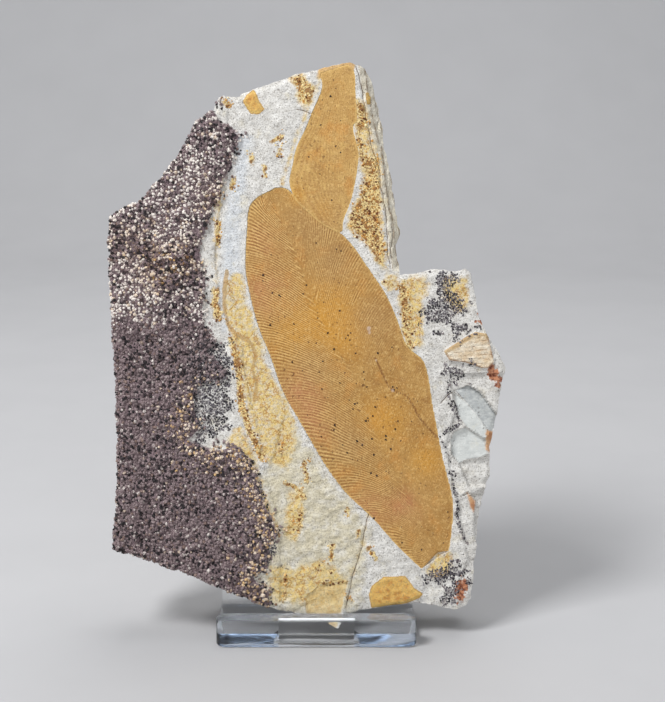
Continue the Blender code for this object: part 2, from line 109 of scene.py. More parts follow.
def rough(points, cell, seed, layers=3):
    """Noise on noise: each layer has half the cell and half the strength of the one before."""
    return sum(noise(points, cell / 2 ** k, seed + k) / 2 ** k for k in range(layers))


def smoothstep(value, low, high):
    """0 below low, 1 above high and an S-shaped rise between them."""
    t = np.clip((value - low) / (high - low), 0.0, 1.0)
    return t * t * (3.0 - 2.0 * t)


def lumps(flat, cell, seed):
    """Domes side by side, 1 at their tops and 0 in the creases between them.

    Each square of a lattice holds one centre, moved off its middle by hashed noise. The height falls
    with the square of the distance from the nearest centre.
    """
    corner = np.floor(flat / cell)
    nearest = np.full(len(flat), 9.0)
    for step in itertools.product((-1, 0, 1), repeat=2):
        square = corner + np.array(step)
        shift = np.column_stack([noise(square, 1.0, seed), noise(square, 1.0, seed + 50)])
        away = flat / cell - (square + 0.5 + 0.42 * shift)
        nearest = np.minimum(nearest, np.hypot(away[:, 0], away[:, 1]))
    return np.maximum(1.0 - (nearest / 0.8) ** 2, 0.0)


# %% [markdown]
# What is on the face is drawn as outlines and paths, and each becomes a field: for every point of the
# surface, the distance to the outline's edge, positive inside. A field can raise a ledge, cut a crack
# or tint a stain, and a material can fray its border with noise that is finer than the mesh.
# %% Distances to outlines and paths
def foot_on(flat, path, closed=False):
    """The nearest point of a path, and the distance to it.

    Each stretch of the path offers a point's shadow on it, held between the stretch's ends.
    """
    start = np.asarray(path, dtype=float)
    end = np.roll(start, -1, axis=0) if closed else start[1:]
    best = np.full(len(flat), np.inf)
    foot = np.zeros_like(flat)
    for near, far in zip(start, end):
        along = far - near
        t = np.clip((flat - near) @ along / (along @ along), 0.0, 1.0)
        here = near + t[:, None] * along
        gap = np.hypot(*(flat - here).T)
        foot = np.where((gap < best)[:, None], here, foot)
        best = np.minimum(gap, best)
    return foot, best


def inside(flat, outline):
    """Distance to a closed outline, positive inside: there a ray to the right crosses it an odd number
    of times.
    """
    start = np.asarray(outline, dtype=float)
    distance = foot_on(flat, start, closed=True)[1]
    crossings = np.zeros(len(flat), dtype=int)
    for near, far in zip(start, np.roll(start, -1, axis=0)):
        if near[1] != far[1]:
            crosses = (near[1] > flat[:, 1]) != (far[1] > flat[:, 1])
            slope = (far[0] - near[0]) / (far[1] - near[1])
            crossings += crosses & (flat[:, 0] < near[0] + (flat[:, 1] - near[1]) * slope)
    return np.where(crossings % 2 == 1, distance, -distance)


def band(flat, path, half_width):
    """Positive within half_width of an open path."""
    return half_width - foot_on(flat, path)[1]


def spots(flat, places):
    """Positive inside any of a list of round spots, each (a, b, radius)."""
    fields = [radius - np.hypot(flat[:, 0] - a, flat[:, 1] - b) for a, b, radius in places]
    return np.maximum.reduce(fields)


def wander(path, shift=0.35):
    """A path cut finely and moved sideways by noise, as a crack strays through grainy stone."""
    fine = even_path(path, 0.6)
    stray = np.column_stack([rough(fine, 4.0, 90), rough(fine, 4.0, 95)])
    ends = np.minimum(np.arange(len(fine)), np.arange(len(fine))[::-1])[:, None] / 4.0
    return fine + shift * stray * np.minimum(ends, 1.0)


def smooth_path(corners, spacing):
    """A smooth curve through the corners, evenly cut: each stretch's slope follows its neighbours."""
    knots = np.asarray(corners, dtype=float)
    padded = np.vstack([2 * knots[0] - knots[1], knots, 2 * knots[-1] - knots[-2]])
    t = np.linspace(0.0, 1.0, 12, endpoint=False)[:, None]
    pieces = []
    for before, here, there, after in zip(padded, padded[1:], padded[2:], padded[3:]):
        pull = 0.5 * (2 * here + (there - before) * t + (2 * before - 5 * here + 4 * there - after) * t ** 2
                      + (3 * here - before - 3 * there + after) * t ** 3)
        pieces.append(pull)
    fine = np.vstack(pieces + [knots[-1:]])
    return even_path(fine, spacing)


def even_path(path, spacing):
    """The same path with points the given distance apart."""
    path = np.asarray(path, dtype=float)
    run = np.concatenate([[0.0], np.cumsum(np.linalg.norm(np.diff(path, axis=0), axis=1))])
    at = np.linspace(0.0, run[-1], max(int(round(run[-1] / spacing)), 2) + 1)
    return np.column_stack([np.interp(at, run, path[:, k]) for k in range(path.shape[1])])


# %% [markdown]
# The outline of the whole plate and the outlines on its face follow the photograph, point by point
# only where the shape turns. They are in millimetres on the plate.
# %% Outlines on the rock's face
OUTLINE = [
    (10.0, 169.7), (14.8, 167.8), (16.5, 164.1), (17.6, 159.3), (19.9, 150.6), (20.6, 144.9),
    (22.9, 133.5), (23.8, 125.0), (25.1, 118.5), (24.0, 114.9), (25.1, 105.6), (33.4, 106.8),
    (38.5, 107.4), (42.3, 106.5), (44.5, 107.7), (46.4, 106.5), (47.7, 98.1), (49.9, 90.3),
    (52.4, 86.7), (55.3, 81.2), (56.9, 77.7), (55.0, 68.1), (54.4, 62.7), (52.0, 52.5),
    (52.4, 46.5), (49.4, 36.9), (48.1, 26.1), (46.4, 8.1), (44.5, 6.3), (41.5, 5.1), (35.9, 6.6),
    (31.0, 7.2), (25.1, 6.6), (16.6, 5.7), (9.2, 3.9), (6.1, 0.0), (1.6, 1.5), (-3.4, 3.3),
    (-13.9, 6.0), (-25.9, 10.9), (-40.9, 17.1), (-61.0, 23.7), (-60.1, 32.1), (-59.4, 60.6),
    (-61.3, 95.1), (-62.2, 115.2), (-61.5, 123.3), (-58.0, 125.7), (-53.5, 127.2), (-43.6, 137.7),
    (-37.9, 147.0), (-35.5, 152.1), (-31.2, 154.6), (-29.2, 158.7), (-28.0, 159.6), (-22.9, 159.0),
    (-19.3, 161.4), (-7.9, 165.2), (5.8, 168.9),
]
LEAF_STATIONS = [
    [(-14.9, 130.5), (-14.1, 130.9), (-12.1, 132.1)],
    [(-17.9, 129.0), (-13.4, 128.0), (-8.8, 131.6)],
    [(-20.4, 125.8), (-11.9, 124.4), (-4.6, 126.8)],
    [(-21.0, 119.0), (-8.9, 118.8), (1.2, 122.3)],
    [(-21.4, 112.5), (-6.2, 113.0), (7.2, 118.3)],
    [(-21.5, 107.5), (-4.2, 107.5), (11.4, 113.9)],
    [(-20.3, 100.5), (-1.9, 101.0), (15.8, 107.5)],
    [(-17.8, 90.8), (1.0, 94.0), (20.6, 100.4)],
    [(-14.0, 81.2), (5.4, 86.5), (24.3, 92.3)],
    [(-10.3, 70.9), (10.6, 78.0), (27.2, 84.3)],
    [(-5.2, 61.6), (14.8, 67.0), (32.6, 79.0)],
    [(2.9, 47.8), (19.0, 56.5), (35.2, 65.6)],
    [(9.4, 39.4), (23.1, 47.8), (37.8, 51.7)],
    [(16.0, 33.4), (27.3, 39.5), (40.7, 40.2)],
    [(23.5, 25.0), (31.3, 31.8), (41.2, 34.0)],
    [(28.4, 20.2), (34.2, 26.6), (40.6, 28.0)],
    [(31.4, 17.3), (36.4, 22.3), (40.0, 22.9)],
]
UPPER_LEAF_LEFT = [
    (0.9, 166.3), (1.6, 161.7), (-1.5, 154.3), (-3.4, 149.4), (-6.1, 143.7), (-7.2, 138.7),
    (-8.2, 134.0), (-7.4, 130.4), (-5.7, 127.4), (-3.0, 124.9), (0.9, 121.4), (5.5, 118.8), (8.0, 118.3),
]
UPPER_LEAF_RIGHT = [
    (9.4, 168.9), (11.4, 166.5), (11.7, 161.7), (11.9, 157.8), (12.2, 152.2), (11.0, 150.1),
    (12.3, 144.0), (12.7, 141.3), (11.9, 134.8), (10.4, 127.9), (8.1, 121.9), (8.0, 118.3),
]
GRANULAR_LAYER = [
    (-30.9, 170.0), (-30.9, 154.6), (-28.9, 151.5), (-25.6, 150.0), (-23.2, 147.3), (-23.6, 144.6),
    (-25.1, 141.3), (-25.5, 137.4), (-28.2, 134.4), (-28.6, 128.2), (-31.6, 126.3), (-32.0, 121.3),
    (-34.4, 116.4), (-35.1, 112.2), (-34.4, 107.5), (-33.1, 102.3), (-34.4, 95.4), (-33.6, 89.7),
    (-29.8, 85.8), (-32.5, 83.1), (-26.7, 76.6), (-27.1, 74.7), (-35.5, 72.9), (-36.6, 68.1),
    (-36.6, 64.8), (-34.4, 60.1), (-38.2, 56.1), (-30.8, 53.1), (-23.6, 54.4), (-19.4, 49.2),
    (-17.5, 43.5), (-15.2, 36.3), (-12.2, 30.1), (-11.8, 28.2), (-14.1, 23.6), (-14.4, 17.8),
    (-19.1, 14.8), (-14.1, 10.9), (-14.4, 0.0), (-75.0, 0.0), (-75.0, 170.0),
]
OUTER_LEDGE = [
    (-26.6, 170.0), (-26.6, 143.0), (-29.0, 126.0), (-30.6, 110.0), (-28.6, 95.0), (-22.5, 84.0),
    (-21.0, 72.0), (-17.5, 60.0), (-16.5, 51.0), (-12.0, 34.0), (-10.0, 0.0), (-70.0, 0.0),
    (-70.0, 170.0),
]
INNER_LEDGE = [
    (-27.0, 104.0), (-24.0, 96.0), (-20.0, 86.0), (-18.5, 78.0), (-13.5, 72.0), (-8.5, 65.0),
    (-11.0, 58.0), (-14.0, 48.0), (-70.0, 48.0), (-70.0, 104.0),
]
FLANK = [
    (11.9, 172.0), (13.7, 159.6), (14.9, 152.7), (18.2, 140.1), (19.1, 134.1), (21.5, 116.1),
    (22.6, 106.5), (32.0, 106.5), (32.0, 172.0),
]
CHIPS = [
    [(39.8, 76.0), (41.9, 64.8), (39.8, 59.1), (38.9, 53.1), (40.7, 42.6), (42.2, 37.2),
     (44.0, 27.3), (45.5, 20.1), (42.5, 12.6), (43.5, 0.0), (62.0, 0.0), (62.0, 76.0)],
    [(42.6, 48.9), (45.1, 50.1), (48.4, 50.4), (50.8, 51.5), (62.0, 52.0), (62.0, 42.0), (46.0, 42.0)],
    [(43.2, 39.0), (45.3, 40.4), (47.9, 37.6), (47.4, 26.0), (62.0, 20.0), (62.0, 44.0)],
]
# Fresh smooth breaks: outline, a place on the break, its height there, and its rise to the right and up.
FACETS = [
    ([(41.2, 70.7), (42.3, 63.7), (45.1, 59.9), (50.5, 56.2), (52.2, 58.1), (48.4, 63.2), (45.1, 67.4)],
     (48.4, 63.2), -0.9, 0.09, -0.07),
    ([(41.4, 71.0), (45.6, 72.5), (49.3, 70.4), (53.1, 65.1), (55.5, 61.8), (52.2, 58.1), (48.4, 63.2),
      (45.1, 67.4)],
     (48.4, 63.2), -0.9, -0.3, -0.24),
    ([(44.9, 59.9), (50.5, 56.2), (51.6, 51.6), (48.4, 50.4), (45.1, 50.1), (43.0, 48.7), (40.5, 51.8),
      (40.2, 56.2), (41.2, 58.5)], (45.5, 55.0), -1.9, 0.03, -0.05),
]
BACK_SHELLS = [
    [(-70.0, 118.0), (-38.0, 112.0), (-20.0, 126.0), (-4.0, 148.0), (6.0, 175.0), (-70.0, 175.0)],
    [(30.0, 112.0), (24.0, 84.0), (34.0, 60.0), (38.0, 30.0), (62.0, 20.0), (62.0, 112.0)],
]
RIBBED_FRAGMENT = [
    (38.2, 82.8), (40.6, 84.3), (44.9, 87.0), (47.5, 88.5), (51.3, 87.9), (53.2, 79.5), (51.4, 77.7),
    (49.4, 77.8), (44.5, 79.5), (39.8, 80.1),
]
BELOW_CRACK = [
    (15.8, 34.2), (14.4, 29.1), (12.6, 20.4), (10.2, 14.0), (8.9, 6.6), (8.0, -2.0), (34.0, -2.0),
    (34.0, 18.0), (30.5, 16.6), (21.0, 26.4),
]
CRACK = [(15.8, 34.2), (14.5, 29.1), (13.7, 24.6), (12.4, 20.1), (10.7, 15.6), (9.8, 9.6), (8.8, 5.7)]
GROOVE = [
    (11.8, 168.3), (12.8, 164.1), (13.7, 159.6), (14.8, 152.7), (16.3, 146.1), (18.1, 140.1),
    (19.1, 134.1), (20.6, 125.1), (21.4, 116.1), (22.1, 107.7),
]
LAYER_CRACK = [(18.3, 156.0), (19.0, 146.0), (20.8, 137.1), (22.1, 128.1), (22.9, 119.1), (22.6, 110.7)]
HAIR_CRACKS = [
    [(-6.1, 155.4), (-3.4, 154.8), (-1.1, 153.9)],
    [(37.0, 66.9), (39.8, 69.9), (42.4, 71.0), (45.4, 72.4), (47.8, 71.2), (50.1, 70.5)],
    [(42.4, 70.3), (46.0, 67.2), (49.0, 63.6), (51.4, 59.4)],
    [(44.9, 60.1), (47.5, 57.9), (50.5, 56.2)],
    [(43.2, 48.9), (45.3, 50.1), (47.8, 50.7), (50.9, 50.3)],
    [(15.6, 34.2), (12.1, 35.8)],
]
HAIR_CRACKS = [wander(crack) for crack in HAIR_CRACKS]
CRACK = wander(CRACK, 0.2)
GROOVE = wander(GROOVE, 0.5)
LAYER_CRACK = wander(LAYER_CRACK, 0.6)
ALL_CRACKS = HAIR_CRACKS + [CRACK, GROOVE, LAYER_CRACK]
GOLD_FRAGMENTS = [
    [(-18.9, 161.4), (-21.1, 159.6), (-22.1, 157.6), (-21.1, 155.9), (-19.8, 154.0), (-17.3, 153.8),
     (-15.6, 155.3), (-17.2, 157.8), (-18.1, 160.1)],
    [(15.7, 9.6), (16.6, 12.3), (20.1, 15.0), (26.7, 15.3), (29.3, 11.7), (31.9, 10.0), (31.0, 8.7),
     (26.7, 6.9), (16.5, 5.6)],
    [(14.8, 160.2), (15.8, 160.8), (16.6, 158.7), (16.3, 156.9), (15.1, 156.9)],
]
TIP_FRAGMENT = [(0.4, 12.3), (9.4, 13.5), (7.9, 6.3), (6.1, 0.0), (1.6, 1.5), (-3.4, 3.3), (-3.1, 9.0)]

# %% [markdown]
# A leaf's shape is two parameters: how far along its midrib, and how far across to a margin. The
# stations above are joined by smooth curves, so any pair of parameters gives a point on the plate.
# %% The large leaf as a function of two parameters
class Leaf:
    """The large leaf's midrib and margins, as smooth curves over the distance along the midrib."""

    def __init__(self, stations):
        rows = np.array(stations[::-1])
        steps = np.hypot(*np.diff(rows[:, 1], axis=0).T)
        knots = np.concatenate([[0.0], np.cumsum(steps)])
        spline = smooth_path(np.column_stack([knots, rows.reshape(len(rows), 6)]), 0.4)
        self.run = spline[:, 0]
        self.rows = spline[:, 1:].reshape(-1, 3, 2)
        self.length = knots[-1]

    def line(self, column, along):
        """Left margin (0), midrib (1) or right margin (2), at distances along the midrib."""
        return np.stack([np.interp(along, self.run, self.rows[:, column, k]) for k in (0, 1)], axis=-1)

    def point(self, along, across):
        """The point that is the share |across| of the way from the midrib to a margin: left if negative."""
        midrib = self.line(1, along)
        margin = np.where((across < 0.0)[..., None], self.line(0, along), self.line(2, along))
        return midrib + np.abs(across)[..., None] * (margin - midrib)

    def outline(self, spacing):
        """Up the left margin and down the right one."""
        left = self.line(0, self.run)
        right = self.line(2, self.run)
        return even_path(np.vstack([left, right[::-1], left[:1]]), spacing)[:-1]


leaf = Leaf(LEAF_STATIONS)
LEAF_OUTLINE = leaf.outline(2.0)
UPPER_OUTLINE = np.vstack([smooth_path(UPPER_LEAF_LEFT, 1.5), smooth_path(UPPER_LEAF_RIGHT, 1.5)[-2::-1]])
print("midrib", round(leaf.length, 1), "mm, leaf outline of", len(LEAF_OUTLINE), "points")

# %% [markdown]
# The face is a stack of thin layers that came away unevenly. Its height is a sum: long swells, then
# ledges, chips and cracks from the fields, then the fine tooth of the stone. Near the leaves the rock
# is the smooth bedding plane that they lay on, so there the sum is faded out.
# %% Height of the face above the bedding plane
LEAF_FLOOR = 0.8
TOOTH = 0.13
STRATUM = 1.9
CHIP_DROPS = (0.9, 1.5, 1.2)
RIB_ORIGIN = (30.0, 81.0)
RIBS_PER_RADIAN = 92.0


def edge_depth(flat):
    """Distance in from the plate's broken edge. Noise makes the edge ragged."""
    return inside(flat, OUTLINE) + 0.3 * rough(flat, 3.2, 60) + 0.12 * noise(flat, 1.1, 64) - 0.1


def leaf_field(flat):
    """Distance into either leaf, positive inside."""
    return np.maximum(inside(flat, LEAF_OUTLINE), inside(flat, UPPER_OUTLINE))


def creases(points, cell, seed):
    """Noise folded at its zero lines: broad hollows between sharp ridges, as on a shell-like break."""
    return 1.0 - 2.0 * np.abs(noise(points, cell, seed))


def stairs(flat):
    """How many thin beds the broken flank has stepped down, as a number with its fraction."""
    return np.maximum(inside(flat, FLANK) + 0.35 * rough(flat, 6.0, 15), 0.0) / STRATUM


def ribs(flat):
    """Fine ribs, 0 to 1, that fan out over the three-cornered fragment from its left end."""
    turn = np.arctan2(flat[:, 1] - RIB_ORIGIN[1], flat[:, 0] - RIB_ORIGIN[0])
    return 0.5 + 0.5 * np.cos(turn * RIBS_PER_RADIAN + 1.2 * noise(flat, 3.0, 25))


def face_height(flat, with_leaves=True):
    """Height of the rock's face in millimetres: a sum of swells, ledges, chips, cracks and tooth."""
    edge = edge_depth(flat)
    height = 0.42 * noise(flat, 26.0, 1) + 0.22 * noise(flat, 9.0, 2) + 0.12 * rough(flat, 4.5, 11)

    coarse = smoothstep(inside(flat, GRANULAR_LAYER) + 0.5 * noise(flat, 2.4, 12), -0.8, 1.0)
    height += coarse * (0.9 * lumps(flat, 3.3, 3) + 0.6 * lumps(flat, 1.9, 4) + 0.4 * noise(flat, 11.0, 10))
    fray = 0.5 * rough(flat, 2.6, 13)
    height += 0.55 * smoothstep(inside(flat, OUTER_LEDGE) + fray, -0.3, 0.3)
    height += 0.4 * smoothstep(inside(flat, INNER_LEDGE) + fray, -0.3, 0.3)

    near_leaf = leaf_field(flat)
    height *= 1.0 - 0.85 * smoothstep(near_leaf, -7.0, 0.0)

    slant = np.column_stack([flat[:, 0] * 0.35 + flat[:, 1] * 0.2, flat[:, 1] - 0.4 * flat[:, 0]])
    low = smoothstep(-flat[:, 1], -62.0, -45.0) * (1.0 - coarse) * smoothstep(-near_leaf, 0.4, 2.0)
    height += 0.22 * low * rough(slant, 2.2, 14)

    fall = np.maximum(inside(flat, FLANK), 0.0)
    steps = np.floor(stairs(flat))
    height -= 0.5 * fall + 0.5 * steps
    chipped = np.zeros(len(flat))
    for drop, chip in zip(CHIP_DROPS, CHIPS):
        here = smoothstep(inside(flat, chip) + 0.25 * noise(flat, 3.0, 16), -0.25, 0.35)
        height -= drop * here
        chipped = np.maximum(chipped, here)
    height += chipped * 0.3 * creases(flat, 7.0, 26)
    fresh = np.zeros(len(flat))
    for outline, middle, level, rise_right, rise_up in FACETS:
        here = smoothstep(inside(flat, outline) + 0.12 * noise(flat, 2.0, 30), -0.1, 0.1)
        slope = level + rise_right * (flat[:, 0] - middle[0]) + rise_up * (flat[:, 1] - middle[1])
        height += here * (slope + 0.12 * noise(flat, 5.0, 34) - height)
        fresh = np.maximum(fresh, here)
    fragment = smoothstep(inside(flat, RIBBED_FRAGMENT) + 0.2 * noise(flat, 2.0, 27), -0.3, 0.3)
    height += fragment * (0.85 + 0.22 * ribs(flat) + 0.2 * noise(flat, 3.0, 28))
    height -= 0.3 * smoothstep(inside(flat, BELOW_CRACK), -0.2, 0.1)
    for fragment in GOLD_FRAGMENTS:
        height += 0.3 * smoothstep(inside(flat, fragment) + 0.3 * noise(flat, 2.5, 29), -0.3, 0.9)
    height -= 0.35 * smoothstep(inside(flat, TIP_FRAGMENT), -0.1, 0.25)

    height += 0.35 * np.minimum(fall, 1.0) * rough(flat * (1.0, 0.4), 1.5, 18)
    height -= 0.35 * np.exp(-(foot_on(flat, GROOVE)[1] / 0.3) ** 2)
    height -= 0.12 * np.exp(-(foot_on(flat, CRACK)[1] / 0.25) ** 2)
    for crack in HAIR_CRACKS + [LAYER_CRACK]:
        height -= 0.3 * np.exp(-(foot_on(flat, crack)[1] / 0.25) ** 2)

    calm = (1.0 - 0.5 * smoothstep(near_leaf, -2.0, 0.0)) * (1.0 - 0.75 * fresh)
    height += TOOTH * calm * (0.6 * rough(flat, 1.6, 17, 2) + 0.6 * noise(flat, 0.75, 19))
    worn = np.maximum(1.0 - np.maximum(edge, 0.0) / (0.7 + 0.7 * (1.0 + noise(flat, 4.0, 5))), 0.0)
    height -= 0.45 * worn
    if with_leaves:
        height -= LEAF_FLOOR * (near_leaf > 0.03)
    return height


def back_depth(flat):
    """Depth of the rock's back: rough, with two broken-off shells and a rounded rim."""
    fray = 1.2 * rough(flat, 7.0, 20)
    worn = 1.2 + 1.3 * noise(flat, 24.0, 6) + 0.4 * noise(flat, 9.0, 7) + 0.3 * rough(flat, 3.5, 21)
    for drop, shell in zip((3.4, 2.4), BACK_SHELLS):
        worn += drop * smoothstep(inside(flat, shell) + fray, -0.9, 0.9)
    worn += 2.4 * np.exp(-np.maximum(edge_depth(flat), 0.0) / 2.2)
    worn += 0.12 * rough(flat, 1.5, 23, 2)
    return PLATE_THICKNESS - np.maximum(worn, 0.0)


# %% [markdown]
# The stains and layers are fields too. They are kept on the mesh as named attributes, in millimetres,
# and only reach a little way into the rock, so they end soon after they turn over the broken edge.
# %% Stain fields
CRUST_THICKNESS = 6.0
FIELD_LIMIT = 6.0
STREAKS = [
    [(-30.1, 100.8), (-30.4, 97.2), (-29.5, 93.0)],
    [(-25.3, 86.1), (-23.6, 79.5), (-22.9, 74.1), (-22.6, 68.1), (-20.2, 59.7), (-16.3, 51.0)],
]
BROWN_SPOTS = [
    [(-9.6, 14.6), (-9.2, 11.4), (-9.9, 7.9)], [(9.4, 9.0), (10.8, 7.6)], [(21.4, 103.0), (24.6, 101.6)],
    [(2.0, 13.2), (8.8, 13.6)], [(9.2, 35.1), (9.5, 34.8)], [(-1.5, 17.5), (4.5, 16.5)],
]
BROWN_BLOTCHES = [
    [(-3.8, 49.4), (-2.7, 43.9)], [(-9.0, 43.1), (-6.0, 41.5), (-3.4, 38.8)],
    [(-4.6, 34.5), (-4.8, 31.5), (-5.6, 28.8)], [(9.0, 35.2), (9.6, 34.6)],
    [(12.7, 28.4), (12.6, 27.2)], [(15.7, 23.7), (17.9, 20.4)], [(4.7, 24.3), (4.5, 20.2)],
    [(-10.7, 54.0), (-10.6, 52.5)], [(-10.3, 147.2), (-13.1, 145.6)], [(-11.0, 143.2), (-11.1, 142.2)],
    [(-15.9, 138.2), (-15.4, 135.5)], [(-19.4, 141.4), (-19.6, 139.3)], [(-24.7, 134.4), (-25.6, 131.6)],
    [(-29.6, 121.8), (-29.6, 114.8)], [(-27.8, 157.4), (-26.5, 156.6)],
]
CRUST_BORDER = [
    (-23.9, 53.4), (-19.2, 46.8), (-15.2, 35.8), (-12.2, 28.5), (-13.7, 22.6), (-17.3, 15.3), (-15.2, 8.0),
]
TAN_BAND = [
    (-26.9, 106.8), (-27.5, 101.4), (-27.6, 96.1), (-26.6, 90.8), (-24.3, 88.1), (-22.0, 86.8),
    (-19.3, 84.8), (-18.3, 81.4), (-19.3, 77.4), (-17.9, 72.8), (-18.6, 68.1),
]
SHOULDER_STREAK = [(25.9, 101.7), (26.2, 98.1), (27.4, 92.7), (26.8, 89.1), (28.1, 84.6)]
TOP_GRAINS = [
    (-7.6, 164.7), (-4.6, 165.4), (-1.1, 161.7), (-1.5, 157.8), (-3.4, 156.6), (-5.0, 157.8), (-5.7, 162.3),
]
BROWN_COLUMN = [
    (12.2, 158.1), (14.2, 156.9), (16.3, 146.1), (18.4, 140.1), (19.1, 128.1), (19.1, 119.1),
    (20.4, 113.1), (20.2, 108.3), (17.8, 110.1), (16.3, 113.9), (12.6, 117.7), (9.9, 120.1),
    (10.7, 125.1), (13.2, 128.7), (14.8, 135.3), (13.3, 140.1), (12.2, 146.1),
]
CREAM_SPOT = [(13.3, 149.1), (15.1, 149.7), (17.2, 143.1), (16.1, 141.0), (14.2, 142.5)]
YELLOW_AREAS = [
    [(-27.4, 104.0), (-25.5, 107.0), (-22.2, 106.5), (-21.0, 99.3), (-18.6, 91.5), (-15.4, 85.0),
     (-15.6, 81.0), (-13.9, 76.5), (-9.8, 70.5),
     (-6.1, 62.1), (-6.1, 54.6), (-8.5, 47.1), (-15.1, 49.5), (-19.3, 59.7), (-21.8, 69.6),
     (-24.1, 83.7), (-28.3, 94.5)],
    [(25.1, 104.4), (28.6, 105.6), (33.4, 105.6), (34.0, 102.3), (32.2, 98.1), (32.2, 84.6),
     (28.6, 82.5), (25.6, 86.7), (24.4, 98.1)],
    [(31.3, 16.8), (36.4, 22.2), (40.6, 23.4), (40.6, 16.5), (35.9, 14.1)],
    [(-7.9, 41.1), (-3.4, 40.5), (-3.8, 32.1), (-6.1, 24.6), (-9.8, 27.6), (-9.2, 35.1)],
    [(-21.1, 45.3), (-16.3, 44.1), (-14.5, 38.1), (-10.9, 29.1), (-13.3, 26.1), (-16.3, 36.6)],
    [(-24.1, 49.5), (-27.1, 57.3), (-22.9, 60.6), (-18.1, 52.5), (-16.3, 45.3), (-19.9, 45.9)],
    [(-40.4, 20.1), (-36.1, 21.3), (-34.9, 16.5), (-39.1, 14.7)],
    [(-15.0, 19.0), (-6.0, 18.0), (2.0, 20.5), (9.5, 15.0), (7.0, 6.0), (-3.0, 6.5), (-13.0, 8.0)],
    [(21.0, 106.5), (24.5, 106.0), (25.0, 102.0), (21.5, 100.5), (19.0, 103.0)],
    [(38.0, 105.5), (45.5, 105.0), (46.0, 96.0), (41.0, 94.0), (37.5, 99.0)],
]
YELLOW_LINES = [
    [(-26.2, 143.7), (-27.8, 137.7), (-28.6, 131.1), (-29.5, 123.6), (-30.1, 116.1), (-30.4, 109.5),
     (-29.8, 101.1)],
    [(1.6, 168.3), (0.0, 161.1), (-3.0, 154.5), (-6.3, 146.1), (-8.7, 138.6), (-10.3, 132.9)],
    [(15.8, 34.2), (13.7, 24.6), (10.7, 15.6)],
]
LEAF_STAIN = [(0.8, 164.5), (0.4, 169.5), (10.0, 172.5), (11.6, 168.5), (11.4, 163.0), (8.0, 162.0)]
WARM_GROUND = [
    (-17.0, 46.0), (-6.0, 60.0), (4.0, 45.0), (16.0, 30.0), (13.0, 5.0), (-4.0, 2.0), (-20.0, 8.0),
    (-12.0, 28.0),
]
RED_AREAS = [
    [(41.5, 14.1), (43.6, 15.0), (45.1, 12.9), (45.1, 8.7), (43.0, 6.9), (41.2, 8.1)],
    [(51.5, 78.6), (53.8, 77.9), (56.0, 73.9), (55.0, 72.0), (52.9, 74.0), (51.2, 76.1)],
    [(48.1, 94.8), (49.6, 94.2), (49.4, 91.2), (48.1, 91.8)],
]
ORANGE_AREAS = [
    [(50.9, 59.1), (53.2, 58.5), (52.9, 51.9), (50.9, 53.1)],
    [(45.2, 40.4), (47.8, 37.6), (47.4, 34.1), (46.2, 36.0)],
]
BLUE_WHITE = [
    (-26.6, 149.7), (-19.3, 146.7), (-21.1, 134.1), (-22.9, 123.6), (-22.9, 110.1), (-23.6, 89.1),
    (-27.8, 89.1), (-28.3, 101.1), (-28.3, 113.1), (-26.6, 128.1), (-24.1, 140.1),
]
SPECK_LINE = [
    (39.8, 74.1), (39.8, 69.0), (41.9, 64.8), (43.2, 60.6), (39.8, 58.9), (36.8, 57.5), (38.9, 53.1),
    (40.0, 49.8), (40.8, 46.8), (40.6, 42.6), (42.1, 39.4), (42.0, 37.2), (41.9, 33.3), (43.0, 30.3),
    (44.2, 27.3), (45.4, 24.9),
]
SPECK_AREAS = [
    [(34.6, 106.5), (40.0, 107.7), (41.9, 101.1), (43.6, 98.1), (42.4, 92.7), (37.0, 89.1),
     (32.5, 91.5), (33.4, 98.1), (35.9, 101.7)],
    [(40.6, 90.6), (46.6, 91.5), (47.2, 87.9), (41.9, 87.3)],
    [(38.5, 79.2), (46.0, 78.3), (44.9, 73.5), (39.1, 74.1)],
    [(32.5, 18.3), (46.0, 18.9), (46.6, 14.1), (40.0, 12.9), (32.2, 14.1)],
    [(38.9, 12.6), (41.9, 12.6), (41.9, 6.9), (38.9, 6.9)],
]
SPECKS_BY_GRANULAR = [
    (-37.5, 87.6), (-25.3, 84.6), (-25.3, 68.1), (-28.3, 59.1), (-34.9, 54.6), (-39.5, 68.1),
]


def union(fields):
    """The field of several shapes taken together."""
    return np.maximum.reduce(list(fields))


def speck_field(flat):
    """Where black grains are scattered: along a line, in patches and at the granular layer's edge."""
    fray = rough(flat, 2.2, 31)
    areas = union(inside(flat, area) for area in SPECK_AREAS + [SPECKS_BY_GRANULAR])
    line = band(flat, SPECK_LINE, 0.45) + 0.5 * fray
    return union([areas + 2.6 * fray + 0.3, line, band(flat, CRUST_BORDER, 0.8) + fray])


def brown_field(flat):
    """The orange-brown granular streaks and patches."""
    paths = {1.1: STREAKS, 0.7: BROWN_BLOTCHES, 0.5: BROWN_SPOTS}
    streaks = union(band(flat, path, half_width) for half_width, group in paths.items() for path in group)
    column = np.minimum(inside(flat, BROWN_COLUMN), -inside(flat, CREAM_SPOT) - 0.3)
    return union([streaks, band(flat, SHOULDER_STREAK, 1.2), inside(flat, TOP_GRAINS), column])


